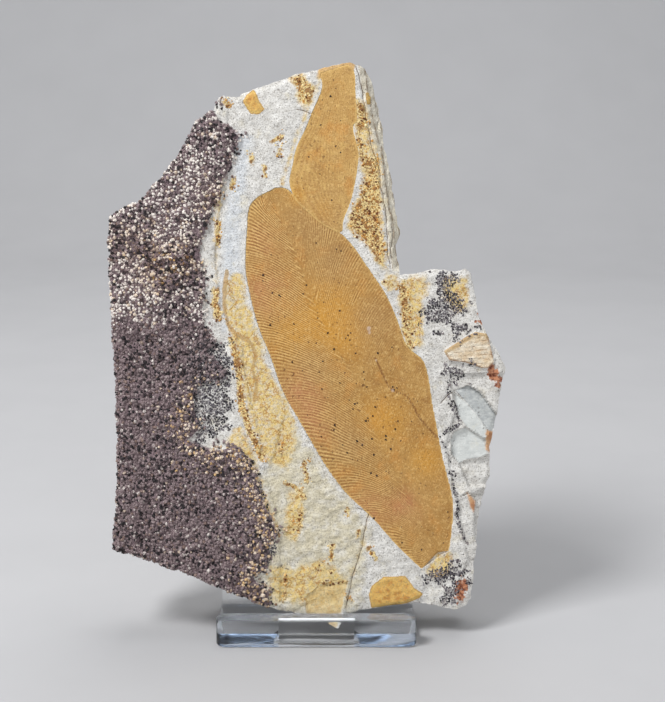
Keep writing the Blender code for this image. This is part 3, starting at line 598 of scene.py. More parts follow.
def stain_fields(flat, depth):
    """Every stain's field, and the field of the shell-shaped break where the finish paints shade. A second
    number is how deep it reaches into the rock, in millimetres.
    """
    yellow = union([inside(flat, area) for area in YELLOW_AREAS]
                   + [band(flat, line, 0.55) for line in YELLOW_LINES]
                   + [inside(flat, BROWN_COLUMN) + 1.0, inside(flat, TOP_GRAINS) + 1.0])
    gold = union(inside(flat, area) for area in GOLD_FRAGMENTS)
    cracks = union([band(flat, path, 0.0) for path in ALL_CRACKS])
    stair = stairs(flat)
    strata = np.where(stair > 0.0, np.abs(stair - np.round(stair)) * STRATUM, STRATUM)
    flat_fields = {
        "strata": (-strata, 3.0),
        "granular": (inside(flat, GRANULAR_LAYER), CRUST_THICKNESS),
        "yellow": (yellow, 2.5),
        "brown": (brown_field(flat), 2.0),
        "leaf_stain": (inside(flat, LEAF_STAIN), 1.0),
        "warm": (inside(flat, WARM_GROUND), 2.0),
        "red": (union(inside(flat, area) for area in RED_AREAS), 3.0),
        "orange": (union(inside(flat, area) for area in ORANGE_AREAS), 2.0),
        "gold": (gold, 1.5),
        "tip": (inside(flat, TIP_FRAGMENT) - 0.1, 1.5),
        "cool": (inside(flat, BLUE_WHITE), 1.0),
        "cream": (inside(flat, FLANK), 4.0),
        "speck": (np.minimum(speck_field(flat), 1.2), 1.0),
        "facet": (union(inside(flat, facet[0]) for facet in FACETS), 4.0),
        # shell: the break that slopes away from the light, where the finish paints shade; it is no stain
        "shell": (inside(flat, FACETS[1][0]), 4.0),
        "tan_band": (band(flat, TAN_BAND, 0.6), 1.0),
        "crack": (cracks, 1.0),
        "ribbed": (inside(flat, RIBBED_FRAGMENT), 1.5),
        "tan_side": (band(flat, [(38.2, 82.8), (40.6, 84.3), (47.5, 88.5), (51.3, 87.9)], 1.0), 1.5),
    }
    limited = {name: np.minimum(field, reach - depth) for name, (field, reach) in flat_fields.items()}
    limited["rib"] = ribs(flat)
    return {name: np.clip(field, -FIELD_LIMIT, FIELD_LIMIT) for name, field in limited.items()}


# %% [markdown]
# Blender takes a mesh fastest as whole arrays. This helper fills vertices, face corners and face
# starts in one go, adds the named attributes that the materials read, and shades the faces smooth.
# %% From arrays to a piece
def make_piece(name, points, faces, fields, finish):
    """A mesh object from points in metres, a list of arrays of faces and a dictionary of attributes."""
    mesh = bpy.data.meshes.new(name)
    corners = np.concatenate([group.ravel() for group in faces])
    sizes = np.concatenate([np.full(len(group), group.shape[1]) for group in faces])
    mesh.vertices.add(len(points))
    mesh.vertices.foreach_set("co", np.asarray(points, dtype=np.float32).ravel())
    mesh.loops.add(len(corners))
    mesh.loops.foreach_set("vertex_index", corners.astype(np.int32))
    mesh.polygons.add(len(sizes))
    mesh.polygons.foreach_set("loop_start", (np.cumsum(sizes) - sizes).astype(np.int32))
    mesh.update(calc_edges=True)
    for field, values in fields.items():
        layer = mesh.attributes.new(field, "FLOAT", "POINT")
        layer.data.foreach_set("value", np.asarray(values, dtype=np.float32))
    mesh.shade_smooth()
    mesh.materials.append(finish.material)
    piece = bpy.data.objects.new(name, mesh)
    bpy.context.scene.collection.objects.link(piece)
    return piece


def hand_over(piece, slot, *nodes):
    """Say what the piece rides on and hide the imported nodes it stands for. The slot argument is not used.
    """
    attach(piece, "root")
    if nodes:
        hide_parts(*nodes)
    triangles = sum(len(polygon.vertices) - 2 for polygon in piece.data.polygons)
    print(piece.name, "has", triangles, "triangles")


# %% [markdown]
# A material is a small sum of layers: a base colour, then each stain over it. Written node by node
# that is long and hard to read. Here one class wraps a node's output so that + - * / on it add the
# Math nodes, and every other node comes from one method of the finish. Its coat method lays the next
# colour over those before it.
# %% Shader maths as Python expressions
class Value:
    """A number or colour that varies over a surface: one output of a node."""

    def __init__(self, finish, socket):
        self.finish = finish
        self.socket = socket

    def maths(self, operation, first, second):
        return self.finish.node("Math", {"operation": operation}, {0: first, 1: second})

    def __add__(self, other):
        return self.maths("ADD", self, other)

    def __sub__(self, other):
        return self.maths("SUBTRACT", self, other)

    def __rsub__(self, other):
        return self.maths("SUBTRACT", other, self)

    def __mul__(self, other):
        return self.maths("MULTIPLY", self, other)

    def __truediv__(self, other):
        return self.maths("DIVIDE", self, other)

    def __abs__(self):
        return self.maths("ABSOLUTE", self, 0.0)

    __radd__ = __add__
    __rmul__ = __mul__


class Finish:
    """One material. Its node method adds any node: the type, its settings, then its sockets."""

    def __init__(self, name):
        self.material = bpy.data.materials.new(name)
        self.material.use_nodes = True
        self.tree = self.material.node_tree
        self.shader = self.tree.nodes["Principled BSDF"]
        self.place = self.node("TexCoord", output="Object")
        self.colour = None

    def plug(self, socket, value):
        if isinstance(value, Value):
            self.tree.links.new(value.socket, socket)
        elif socket.type == "RGBA":
            socket.default_value = (*value, 1.0)
        else:
            socket.default_value = value

    def node(self, kind, settings=None, sockets=None, output=0):
        made = self.tree.nodes.new("ShaderNode" + kind)
        for setting, value in (settings or {}).items():
            setattr(made, setting, value)
        for socket, value in (sockets or {}).items():
            self.plug(made.inputs[socket], value)
        return Value(self, made.outputs[output])

    def field(self, name):
        """A named attribute of the mesh."""
        return self.node("Attribute", {"attribute_name": name}, output="Fac")

    def on_plate(self, scale=(1.0, 1.0, 1.0)):
        """Places turned into the plate's directions, and scaled along them."""
        turn = (LEAN, 0.0, 0.0)
        return self.node("Mapping", {}, {"Vector": self.place, "Scale": scale, "Rotation": turn})

    def cloud(self, size, detail=2.0, rough=0.55, stretch=None):
        """Noise from -1 to 1 whose features are size millimetres across, or stretched along an axis."""
        place = self.place
        if stretch:
            place = self.on_plate(stretch)
        noise_node = self.node("TexNoise", {}, {"Vector": place, "Scale": 1.0 / (size * MM),
                                                "Detail": detail, "Roughness": rough})
        return (noise_node - 0.5) * 2.6

    def step(self, value, low, high):
        """0 below low, 1 above high and an S-shaped rise between them."""
        return self.node("MapRange", {"interpolation_type": "SMOOTHSTEP"},
                         {"Value": value, "From Min": low, "From Max": high})

    def mix(self, share, first, second, blend="MIX"):
        """Two colours mixed: the share of the second one runs from 0 to 1."""
        return self.node("Mix", {"data_type": "RGBA", "blend_type": blend, "clamp_factor": True},
                         {0: share, 6: first, 7: second}, output=2)

    def frayed(self, name, stray, low, high):
        """A field's border from low to high, where stray, a noise in millimetres, moves it to and fro."""
        return self.step(self.field(name) + stray, low, high)

    def shades(self, value, low, high, first, second):
        """The first screen colour where a value is below low, the second above high."""
        return self.mix(self.step(value, low, high), screen(*first), screen(*second))

    def coat(self, share, *colour):
        """Lay a colour over the finish so far: a mixed one, or the three numbers of a screen colour."""
        over = colour[0] if len(colour) == 1 else screen(*colour)
        self.colour = self.mix(share, self.colour, over) if self.colour else over

    def paint(self, **sockets):
        """Plug colours, values or plain numbers into the shader; names have _ for a space."""
        for name, value in sockets.items():
            self.plug(self.shader.inputs[name.replace("_", " ")], value)

    def bump(self, height, millimetres, below=None):
        """A Bump node: height runs over about 1 and stands for that many millimetres."""
        sockets = {"Height": height, "Distance": millimetres * MM, "Strength": 1.0}
        if below:
            sockets["Normal"] = below
        return self.node("Bump", {}, sockets)


def screen(red, green, blue):
    """A colour as seen on a screen, 0 to 255, as the linear light that shaders work in."""
    share = np.array([red, green, blue]) / 255.0
    linear = np.where(share <= 0.04045, share / 12.92, ((share + 0.055) / 1.055) ** 2.4)
    return tuple(float(c) for c in linear)


# %% [markdown]
# The rock's finish layers what the photograph shows: a white, slightly mottled ground with grey
# strokes and pin-prick specks, cooler beside the dark layer, cream on the broken flank, then yellow
# and brown iron stains, golden scraps of other leaves, red-brown lumps, and the dark bed of the
# coarse grains. Each stain's border is its field plus noise, so it frays as a real stain does. The
# shell-shaped break that slopes away from the light also gets a darker grey: painted shade.
# %% The rock's finish
def rock_finish():
    f = Finish("pale_rock")
    fine = f.cloud(0.5, 3.0)
    mottle = f.cloud(2.6, 4.0)
    strokes = f.cloud(0.8, 3.0, stretch=(0.55, 1.0, 1.3))
    f.coat(1.0, f.shades(mottle, -0.5, 0.5, (232, 230, 225), (204, 201, 195)))
    f.coat(f.step(strokes, 0.05, 0.6) * 0.5, 158, 158, 158)
    grains = f.step(f.cloud(0.46, 2.0), 0.05, 0.5)
    f.coat(grains * 0.45, 134, 128, 120)
    f.coat(f.step(f.cloud(0.55, 2.0), 0.05, 0.5) * 0.5, 250, 248, 244)
    fresh = f.step(f.field("facet"), 0.0, 0.4)
    f.coat(fresh * 0.85, f.shades(mottle, -0.5, 0.5, (220, 223, 220), (204, 208, 206)))
    # Painted shade: the shell-shaped break that faces away from the key light gets a darker grey over the
    # fresh colour, in place of the shade that falls on it.
    shell = f.frayed("shell", fine * 0.1, -0.1, 0.15) * (f.step(strokes, -0.4, 0.4) * 0.45 + 0.25)
    f.coat(shell, 166, 170, 172)
    f.coat(f.frayed("cool", mottle * 1.5, -1.5, 1.6) * 0.6,
           f.shades(strokes, -0.5, 0.8, (230, 235, 241), (180, 190, 202)))
    f.coat(f.step(f.field("cream"), -0.3, 0.6) * 0.75,
           f.shades(mottle, -0.5, 0.6, (236, 229, 210), (204, 192, 166)))

    bed = f.node("SeparateXYZ", {}, {0: f.on_plate()}, output="Y") / MM
    behind = f.step(bed + mottle * 2.0, -26.0, -16.0)
    iron = f.step(f.cloud(9.0, 4.0), 0.15, 0.9)
    beds = f.node("TexNoise", {"noise_dimensions": "1D"},
                  {"W": bed * 0.9 + mottle * 0.35, "Scale": 1.0, "Detail": 3.0})
    f.coat(behind * 0.6, 206, 196, 174)
    f.coat(behind * f.step(beds, 0.5, 0.62) * 0.5, 164, 146, 116)
    f.coat(behind * iron * 0.6, 186, 140, 84)

    wisps = f.step(f.cloud(5.0, 5.0, 0.65), 0.1, 0.7)
    f.coat(wisps * 0.4, 230, 216, 172)
    warm = f.frayed("warm", mottle * 3.0, -1.5, 3.0)
    f.coat(warm * 0.6, f.shades(strokes, -0.3, 0.4, (224, 212, 172), (190, 176, 134)))
    strata = f.frayed("strata", f.cloud(1.2, 3.0) * 0.28, -0.42, -0.05)
    f.coat(strata * 0.7, 132, 98, 60)
    patchy = f.step(f.cloud(1.1, 4.0, 0.65), -0.35, 0.3)
    yellow = f.frayed("yellow", f.cloud(2.4, 4.0) * 1.7 - 0.3, -0.9, 1.3)
    f.coat(yellow * (patchy * 0.55 + 0.45), 228, 200, 128)
    tan_band = f.frayed("tan_band", mottle * 0.5, -0.25, 0.25)
    f.coat(tan_band * 0.8, 190, 156, 102)
    threads = f.step(abs(f.cloud(4.5, 4.0, 0.6)), 0.07, 0.0)
    f.coat(yellow * threads * 0.9, 182, 132, 66)
    f.coat(yellow * f.step(f.cloud(0.7, 3.0), 0.1, 0.5) * 0.65, 190, 144, 80)
    brown = f.frayed("brown", f.cloud(1.1, 4.0) * 1.1, -0.35, 0.5)
    f.coat(brown, f.shades(fine, -0.4, 0.15, (140, 88, 36), (236, 212, 150)))
    f.coat(brown * f.step(f.cloud(1.8, 3.0), 0.02, 0.22) * 0.85, 142, 92, 42)
    orange = f.frayed("orange", fine * 0.4, -0.4, 0.4)
    f.coat(orange * 0.9, f.shades(mottle, -0.4, 0.4, (186, 118, 62), (216, 168, 116)))
    red = f.frayed("red", f.cloud(1.6, 4.0) * 2.2, -0.3, 0.4)
    f.coat(red, f.shades(f.cloud(0.9, 4.0), -0.35, 0.3, (116, 60, 44), (204, 140, 104)))

    ribbed = f.frayed("ribbed", fine * 0.12, -0.15, 0.1)
    f.coat(ribbed * 0.75, f.shades(mottle, -0.4, 0.4, (240, 226, 200), (226, 198, 156)))
    groove = f.step(f.field("rib"), 0.35, 0.05) * f.step(f.cloud(1.3, 3.0), -0.3, 0.3)
    f.coat(ribbed * groove * 0.75, 150, 104, 64)
    lined = ribbed * f.frayed("ribbed", fine * 0.3, 0.5, 0.1) * f.step(mottle, -0.4, 0.2)
    f.coat(lined * 0.6, 160, 104, 68)
    tan_side = ribbed * f.frayed("tan_side", mottle * 0.5, -0.6, 0.3)
    f.coat(tan_side * 0.8, 192, 162, 116)
    gold = f.frayed("gold", fine * 0.2, -0.15, 0.15)
    ring = f.frayed("gold", mottle * 0.35, 1.5, 0.2)
    gilt = f.shades(f.cloud(2.2, 4.0), -0.35, 0.4, (226, 184, 104), (192, 136, 68))
    f.coat(gold, f.mix(ring * 0.7, gilt, screen(232, 200, 120)))
    tip = f.frayed("tip", f.cloud(1.2, 3.0) * 0.35, -0.2, 0.3)
    f.coat(tip * 0.85, f.shades(f.cloud(1.2, 4.0), -0.7, 0.8, (232, 211, 158), (212, 172, 104)))
    leafy = f.frayed("leaf_stain", mottle, -0.4, 0.4)
    f.coat(leafy * 0.9, f.mix(patchy, screen(196, 152, 90), screen(214, 174, 108)))
    rimmed = gold * f.frayed("gold", fine * 0.15, 0.45, 0.1)
    f.coat(rimmed * 0.6, 166, 112, 48)

    blots = f.frayed("speck", f.cloud(1.0, 3.0) * 2.4, 1.35, 1.9)
    f.coat(blots * 0.85, f.shades(fine, -0.3, 0.4, (70, 68, 76), (128, 124, 130)))
    crack = f.frayed("crack", fine * 0.14, -0.2, -0.04)
    f.coat(crack * 0.75, 96, 70, 48)
    f.coat(grains * (1.0 - fresh) * 0.4, 130, 120, 108)
    pin_pricks = f.step(f.cloud(0.8, 0.0), 0.6, 0.75) * f.step(f.cloud(6.0, 2.0), -0.2, 0.6)
    f.coat(pin_pricks * 0.8, 84, 72, 66)
    granular = f.frayed("granular", f.cloud(1.6, 3.0) * 0.9, -0.45, 0.35)
    f.coat(granular, f.shades(fine, -0.7, 0.6, (66, 54, 58), (150, 130, 134)))

    relief = f.bump(f.cloud(0.42, 3.0) * 0.5 + strokes * 0.3 + f.cloud(1.4, 3.0) * 0.15, 0.2)
    f.paint(Base_Color=f.colour, Normal=relief, Roughness=0.86 - f.step(fine, 0.0, 1.0) * 0.16)
    f.paint(Specular_IOR_Level=0.35)
    return f


pale_rock = rock_finish()
print("the rock's finish has", len(pale_rock.tree.nodes), "nodes")

# %% [markdown]
# The plate itself could be a sculpt or a remeshed solid. A lattice of squares is simpler: keep those
# inside the outline, draw the outermost corners onto the broken edge, and give every corner a height
# in front and a depth behind. The side wall is rings between the two rims. Triangles are spent on the
# face; the back and the floor below the leaves are thinned afterwards, where no eye needs them.
# %% Squares inside the outline
PITCH = 0.46
BORDER = 1.5
WALL_RINGS = 20


def clipped_lattice(field, low, high, pitch):
    """Corners, squares and rim edges of the lattice squares whose middles have a positive field.

    Lone squares are dropped, and where two touch only at a corner the gap beside them is filled, so
    that the rim never crosses itself.
    """
    counts = np.ceil((np.array(high) - np.array(low)) / pitch).astype(int)
    across, up = np.meshgrid(np.arange(counts[0]), np.arange(counts[1]), indexing="ij")
    middles = np.column_stack([across.ravel() + 0.5, up.ravel() + 0.5]) * pitch + low
    kept = np.pad((field(middles) > 0.0).reshape(counts), 1)
    for _ in range(3):
        beside = sum(np.roll(kept, step, axis) for axis in (0, 1) for step in (1, -1))
        kept &= beside >= 2
        for turn in (1, -1):
            pinch = kept & np.roll(kept, (1, turn), (0, 1))
            pinch &= ~np.roll(kept, 1, 0) & ~np.roll(kept, turn, 1)
            kept |= np.roll(pinch, -1, 0)
    x, y = np.nonzero(kept)
    width = kept.shape[1] + 1
    first = x * width + y
    corners = np.stack([first, first + width, first + width + 1, first + 1], axis=1)
    used, squares = np.unique(corners, return_inverse=True)
    squares = squares.reshape(-1, 4)
    flat = (np.column_stack([used // width, used % width]) - 1) * pitch + low
    edges = np.stack([squares, np.roll(squares, -1, axis=1)], axis=2).reshape(-1, 2)
    key = edges[:, 0] * len(used) + edges[:, 1]
    back = edges[:, 1] * len(used) + edges[:, 0]
    rim = edges[~np.isin(key, back)]
    return flat, squares, rim


def slope_of(field, flat, value, step=0.05):
    """How fast a field grows to the right and upwards."""
    return np.stack([field(flat + [step, 0.0]) - value, field(flat + [0.0, step]) - value], axis=1) / step


def pull_to_zero(flat, field, rounds=4):
    """Points moved along the field's slope to where the field is 0."""
    for _ in range(rounds):
        value = field(flat)
        slope = slope_of(field, flat, value)
        flat = flat - slope * (value / np.maximum((slope ** 2).sum(axis=1), 0.25))[:, None]
    return flat


outline_low = np.min(OUTLINE, axis=0) - BORDER
outline_high = np.max(OUTLINE, axis=0) + BORDER
flat, squares, rim = clipped_lattice(edge_depth, outline_low, outline_high, PITCH)
rim_points = np.unique(rim)
flat[rim_points] = pull_to_zero(flat[rim_points], edge_depth)
print(len(squares), "squares,", len(rim), "rim edges")

# %% [markdown]
# A square beside the rim is left thin or wide when its outer corners move. A few rounds of averaging
# each inner corner with its neighbours, near the rim only, even this out. Corners within half a square
# of a crack or of a leaf's margin are drawn onto it, and squares that such a line crosses from corner
# to corner are split along it. So the leaves' crisp edges need no finer lattice.
# %% Even the squares near the rim and score the lines
links = np.concatenate([squares[:, [0, 1]], squares[:, [1, 2]], squares[:, [2, 3]], squares[:, [3, 0]]])
near_rim = inside(flat, OUTLINE) < 2.0 * PITCH
near_rim[rim_points] = False
for _ in range(3):
    total = np.column_stack([np.bincount(links[:, 0], flat[links[:, 1], k], len(flat)) for k in (0, 1)])
    total += np.column_stack([np.bincount(links[:, 1], flat[links[:, 0], k], len(flat)) for k in (0, 1)])
    count = np.bincount(links.ravel(), minlength=len(flat))
    flat[near_rim] = (total / count[:, None])[near_rim]

scored = np.zeros(len(flat), dtype=bool)
for line in ALL_CRACKS + [np.vstack([RIBBED_FRAGMENT, RIBBED_FRAGMENT[:1]])]:
    foot, gap = foot_on(flat, line)
    towards_line = np.abs(flat - foot) / np.maximum(gap, 1e-6)[:, None]
    near = gap <= 0.5 * PITCH * np.maximum(towards_line.max(axis=1), 0.7)
    near[rim_points] = False
    flat[near] = foot[near]
    scored |= near
value = leaf_field(flat)
slope = np.abs(slope_of(leaf_field, flat, value))
near = np.abs(value) <= 0.5 * PITCH * np.clip(slope.max(axis=1), 0.7, 1.0)
near[rim_points] = False
flat[near] = pull_to_zero(flat[near], leaf_field)
scored |= near

marks = scored[squares]
turned = marks[:, 1] & marks[:, 3] & ~(marks[:, 0] & marks[:, 2])
squares_by_line = np.where(turned[:, None], np.roll(squares, -1, axis=1), squares)
front_triangles = np.concatenate([squares_by_line[:, [0, 1, 2]], squares_by_line[:, [0, 2, 3]]])
print(scored.sum(), "corners lie on drawn lines")


def outward(points, reach=0.9):
    """Unit vectors out of the plate, square to the nearest stretches of its outline."""
    start = np.array(OUTLINE)
    along = np.roll(start, -1, axis=0) - start
    normal = np.stack([-along[:, 1], along[:, 0]], axis=1) / np.hypot(*along.T)[:, None]
    offset = points[:, None, :] - start
    t = np.clip((offset * along).sum(axis=2) / (along * along).sum(axis=1), 0.0, 1.0)
    away = np.linalg.norm(offset - t[:, :, None] * along, axis=2)
    mixed = (((away + reach) ** -4.0)[:, :, None] * normal).sum(axis=1)
    return mixed / np.linalg.norm(mixed, axis=1)[:, None]


# %% [markdown]
# The side wall is a break through many thin beds. Between the front rim and the back rim each ring is
# pushed in or out by noise that is long along the rim and short across the beds, which gives steps
# and ledges, and the whole wall leans in a little towards the back, as it does on the real plate.
# %% The plate's front, wall and back as one closed mesh
def wall_rings(rim_flat, front, back):
    """Points of the rings: depth runs evenly from front to back, and beds step in and out."""
    out = outward(rim_flat)
    rings = []
    for share in np.linspace(0.0, 1.0, WALL_RINGS + 1):
        depth = front + share * (back - front)
        at = np.column_stack([rim_flat, depth])
        beds = at * (0.28, 0.28, 1.4)
        step = 0.55 * noise(beds, 1.5, 31) + 0.3 * rough(at, 2.2, 32) + 0.9 * noise(at, 7.0, 35)
        lean = share * (1.6 + 1.2 * noise(rim_flat, 14.0, 8))
        fade = min(share * 6.0, 1.0)
        shift = fade * (step - lean)
        moved = rim_flat + out * shift[:, None]
        rings.append(np.column_stack([moved, depth]))
    return rings


front = -face_height(flat)
back = back_depth(flat)
rings = wall_rings(flat[rim_points], front[rim_points], back[rim_points])
back_flat = flat.copy()
back_flat[rim_points] = rings[-1][:, :2]
layers = [np.column_stack([flat, front])] + rings[1:-1] + [np.column_stack([back_flat, back])]
plate = np.concatenate(layers)

position = np.full(len(flat), -1)
position[rim_points] = np.arange(len(rim_points))
starts = [0] + [len(flat) + k * len(rim_points) for k in range(WALL_RINGS)]
edge_numbers = [rim_points[position[rim]]] + [position[rim] + start for start in starts[1:-1]]
edge_numbers += [rim + starts[-1]]
walls = [np.column_stack([upper[:, ::-1], lower]) for upper, lower in zip(edge_numbers, edge_numbers[1:])]
back_squares = squares[:, ::-1] + starts[-1]
rock = make_piece("rock_plate", to_world(*plate.T), [front_triangles, np.concatenate(walls), back_squares],
                  stain_fields(plate[:, :2], plate[:, 2]), pale_rock)
print("the plate's lattice has", len(plate), "points")

# %% [markdown]
# Some places can do with fewer triangles: the back and the floors that the leaves cover. A vertex group
# marks them, and a Decimate modifier merges edges only there. The finished mesh is then read back, so
# that the piece's own mesh holds what is seen.
# %% Thin the mesh where it is hidden
KEPT_SHARE = 0.57
SHARP_ANGLE = math.radians(42.0)

hidden = leaf_field(plate[:, :2]) > 0.8
is_back = np.arange(len(plate)) >= starts[-1]
group = rock.vertex_groups.new(name="hidden")
group.add(np.nonzero(hidden | is_back)[0].tolist(), 1.0, "REPLACE")
thin = rock.modifiers.new("thin_hidden", "DECIMATE")
thin.ratio = KEPT_SHARE
thin.vertex_group = "hidden"
thin.vertex_group_factor = 1.0
graph = bpy.context.evaluated_depsgraph_get()
evaluated = rock.evaluated_get(graph)
thinned = bpy.data.meshes.new_from_object(evaluated, preserve_all_data_layers=True, depsgraph=graph)
rock.modifiers.clear()
rock.vertex_groups.clear()
rock.data = thinned
thinned.set_sharp_from_angle(angle=SHARP_ANGLE)
hand_over(rock, "rock", "fossil_slab")

# %% [markdown]
# The leaf is finer than the lattice: its veins are less than a millimetre apart. So it is a sheet of
# its own, and the sheet's rows are its veins. A vein that leaves the midrib at s0 is at
# s0 + T r + R (1 - (1 - r)^2) where it has gone the share r of the way to the margin: steep at the
# midrib, arching over towards the edge. Rows that would start below the base begin on the base line,
# and rows that would run past the tip end there. A ridge comes with every sixth row on the left half and
# every fifth on the right, once the veins have forked close to the midrib.
# %% The large leaf's sheet
ROW_STEP = 0.17
ROWS_PER_VEIN = {-1: 6, 1: 5}
LEAF_DEPTH = 0.3
VEIN_RELIEF = 0.05
COLUMNS = {-1: 40, 1: 36}
SKIRT = 0.5


def vein_shape(start, side):
    """T and R: on the left, veins climb less towards the leaf's blunt tip."""
    near_tip = smoothstep(start / leaf.length, 0.4, 0.8)
    if side > 0:
        return 9.5 - 0.5 * near_tip, 10.0
    return 4.5 - 3.0 * near_tip, 15.5 - 7.5 * near_tip


def climb(share, tilt, reach):
    """How far up the midrib a vein has climbed at a share of its way to the margin."""
    return tilt * share + reach * (1.0 - (1.0 - share) ** 2)


def share_at(rise, tilt, reach):
    """The share at which a vein has climbed by rise: the quadratic above, solved."""
    total = tilt + 2.0 * reach
    return (total - np.sqrt(np.maximum(total ** 2 - 4.0 * reach * rise, 0.0))) / (2.0 * reach)


def half_leaf(side):
    """Rows of one half: flat places, vein number, share across and distance along, as 2D arrays."""
    lowest = -math.floor(sum(vein_shape(0.0, side)) / ROW_STEP - 0.5) * ROW_STEP
    start = np.arange(lowest, leaf.length - 0.5 * ROW_STEP, ROW_STEP)[:, None]
    vein = start / (ROW_STEP * ROWS_PER_VEIN[side])
    tilt, reach = vein_shape(start, side)
    first = share_at(np.clip(-start, 0.0, tilt + reach), tilt, reach)
    last = share_at(np.clip(leaf.length - start, 0.0, tilt + reach), tilt, reach)
    way = np.linspace(0.0, 1.0, COLUMNS[side] + 1)[None, :]
    share = first + (last - first) * way
    along = np.clip(start + climb(share, tilt, reach), 0.0, leaf.length)
    places = leaf.point(along, side * share)
    return places, np.broadcast_to(vein, share.shape), share, along


def quads(rows, columns, flip):
    """Faces of a grid of points numbered row by row."""
    number = np.arange(rows * columns).reshape(rows, columns)
    faces = np.stack([number[:-1, :-1], number[:-1, 1:], number[1:, 1:], number[1:, :-1]], axis=-1)
    faces = faces.reshape(-1, 4)
    return faces[:, ::-1] if flip else faces


def vein_ridges(flat, vein, share):
    """Height of the vein pattern from -1 to 1. Each vein forks soon after it leaves the midrib.

    The share is signed: negative on the left half, where the veins are stronger. They are also
    stronger in the leaf's upper half.
    """
    number = vein + 0.2 * noise(flat, 4.0, 43) + 0.06 * noise(flat, 1.2, 47)
    forked = smoothstep(np.abs(share) - 0.08 * noise(number[:, None] * 0.5, 1.0, 49), 0.0, 0.12)
    single = np.cos(math.pi * number)
    double = np.cos(2.0 * math.pi * number)
    upper = smoothstep(flat[:, 1], 75.0, 105.0)
    right = 0.34 + 0.32 * upper
    strength = right + (0.75 + 0.25 * upper - right) * smoothstep(-share, -0.1, 0.1)
    strength *= smoothstep(np.abs(share), 0.0, 0.05) * (0.85 + 0.35 * noise(flat, 3.0, 42))
    own = noise(np.column_stack([np.round(number * 0.5) * 3.7, np.zeros(len(flat)), share * 2.0]), 1.0, 48)
    return (single + forked * (double - single)) * strength * (0.85 + 0.3 * own)


def leaf_surface(flat, ridge, share):
    """Depth of the leaf's face: the hollow it lies in, slow swells and the ridges of its veins."""
    swell = 0.10 * noise(flat, 17.0, 40) + 0.04 * rough(flat, 5.0, 41) + 0.02 * noise(flat, 1.0, 44)
    midrib = 0.08 * np.exp(-(share / 0.025) ** 2)
    edge = np.exp(-np.maximum(edge_depth(flat), 0.0) / 0.9) * 0.4
    return LEAF_DEPTH + swell + midrib + edge - VEIN_RELIEF * ridge


halves = []
for side in (-1, 1):
    places, vein, share, along = half_leaf(side)
    shape = share.shape
    halves.append({
        "flat": places.reshape(-1, 2), "vein": vein.ravel(), "share": (side * share).ravel(),
        "faces": quads(*shape, flip=side > 0), "shape": shape,
    })
    print("half leaf of", shape[0], "veins' rows and", shape[1], "columns")

# %% [markdown]
# The two halves meet on the midrib, where their points are merged. The open sheet then gets a short
# skirt and a floor, so that it is a closed thing that sits in its hollow. Tints that the photograph
# shows - pink beside the left margin, a golden middle, greyer olive above - are soft round clouds of
# colour, and a hairline crack and two scuffs are fields of their own.
# %% Close the sheet and tint it
TINTS = {
    "pink": [(-15.0, 100.0, 7.0), (-4.5, 70.0, 6.0), (-1.5, 61.0, 6.0), (15.0, 35.0, 6.0),
             (-16.0, 116.0, 5.0), (27.0, 36.0, 5.0)],
    "gold": [(5.0, 97.0, 9.0), (8.5, 87.0, 7.0), (-6.0, 88.0, 8.0), (33.0, 50.0, 5.0), (20.0, 62.0, 7.0),
             (1.5, 124.5, 3.5), (-6.0, 129.5, 3.0)],
    "olive": [(6.0, 108.0, 7.0), (0.0, 122.0, 8.0), (16.0, 92.0, 8.0), (-2.0, 78.0, 7.0),
              (10.0, 55.0, 7.0)],
}
HAIRLINE = [
    (17.6, 80.7), (19.9, 75.9), (22.6, 71.1), (26.6, 69.6), (28.9, 66.6), (30.4, 63.6), (32.2, 61.2),
    (36.1, 57.0),
]
SCUFFS = [(15.7, 89.6, 0.7), (15.9, 88.3, 0.5), (17.9, 80.0, 0.4), (22.9, 71.0, 0.6), (13.8, 54.8, 0.4)]


def clouds(flat, places):
    """A sum of soft round clouds, each 1 in its middle and fading over its radius."""
    return sum(np.exp(-((flat[:, 0] - a) ** 2 + (flat[:, 1] - b) ** 2) / radius ** 2)
               for a, b, radius in places)


def leaf_fields(flat, ridge, outline):
    """What the leaf's finish reads: the vein ridges, the distance from the margin and the tints."""
    tints = {name: np.clip(clouds(flat, places), 0.0, 1.2) for name, places in TINTS.items()}
    return {
        **tints,
        "ridge": ridge,
        "margin": np.clip(inside(flat, outline), -1.0, 8.0),
        "hairline": np.clip(band(flat, smooth_path(HAIRLINE, 1.0), 0.0), -2.0, 0.0),
        "scuff": np.clip(spots(flat, SCUFFS), -2.0, 1.0),
    }


def close_sheet(piece, drop, tolerance=0.002):
    """Merge the seam, then give the sheet a skirt drop millimetres down and a floor."""
    work = bmesh.new()
    work.from_mesh(piece.data)
    bmesh.ops.remove_doubles(work, verts=work.verts, dist=tolerance * MM)
    bmesh.ops.dissolve_degenerate(work, edges=work.edges, dist=tolerance * MM)
    rim = [edge for edge in work.edges if edge.is_boundary]
    skirt = bmesh.ops.extrude_edge_only(work, edges=rim)["geom"]
    low = [item for item in skirt if isinstance(item, bmesh.types.BMVert)]
    down = Vector((0.0, math.cos(LEAN), -math.sin(LEAN))) * drop * MM
    bmesh.ops.translate(work, verts=low, vec=down)
    bmesh.ops.holes_fill(work, edges=[edge for edge in work.edges if edge.is_boundary])
    open_edges = sum(1 for edge in work.edges if not edge.is_manifold)
    work.to_mesh(piece.data)
    work.free()
    print(piece.name, "is closed" if open_edges == 0 else f"has {open_edges} loose edges")


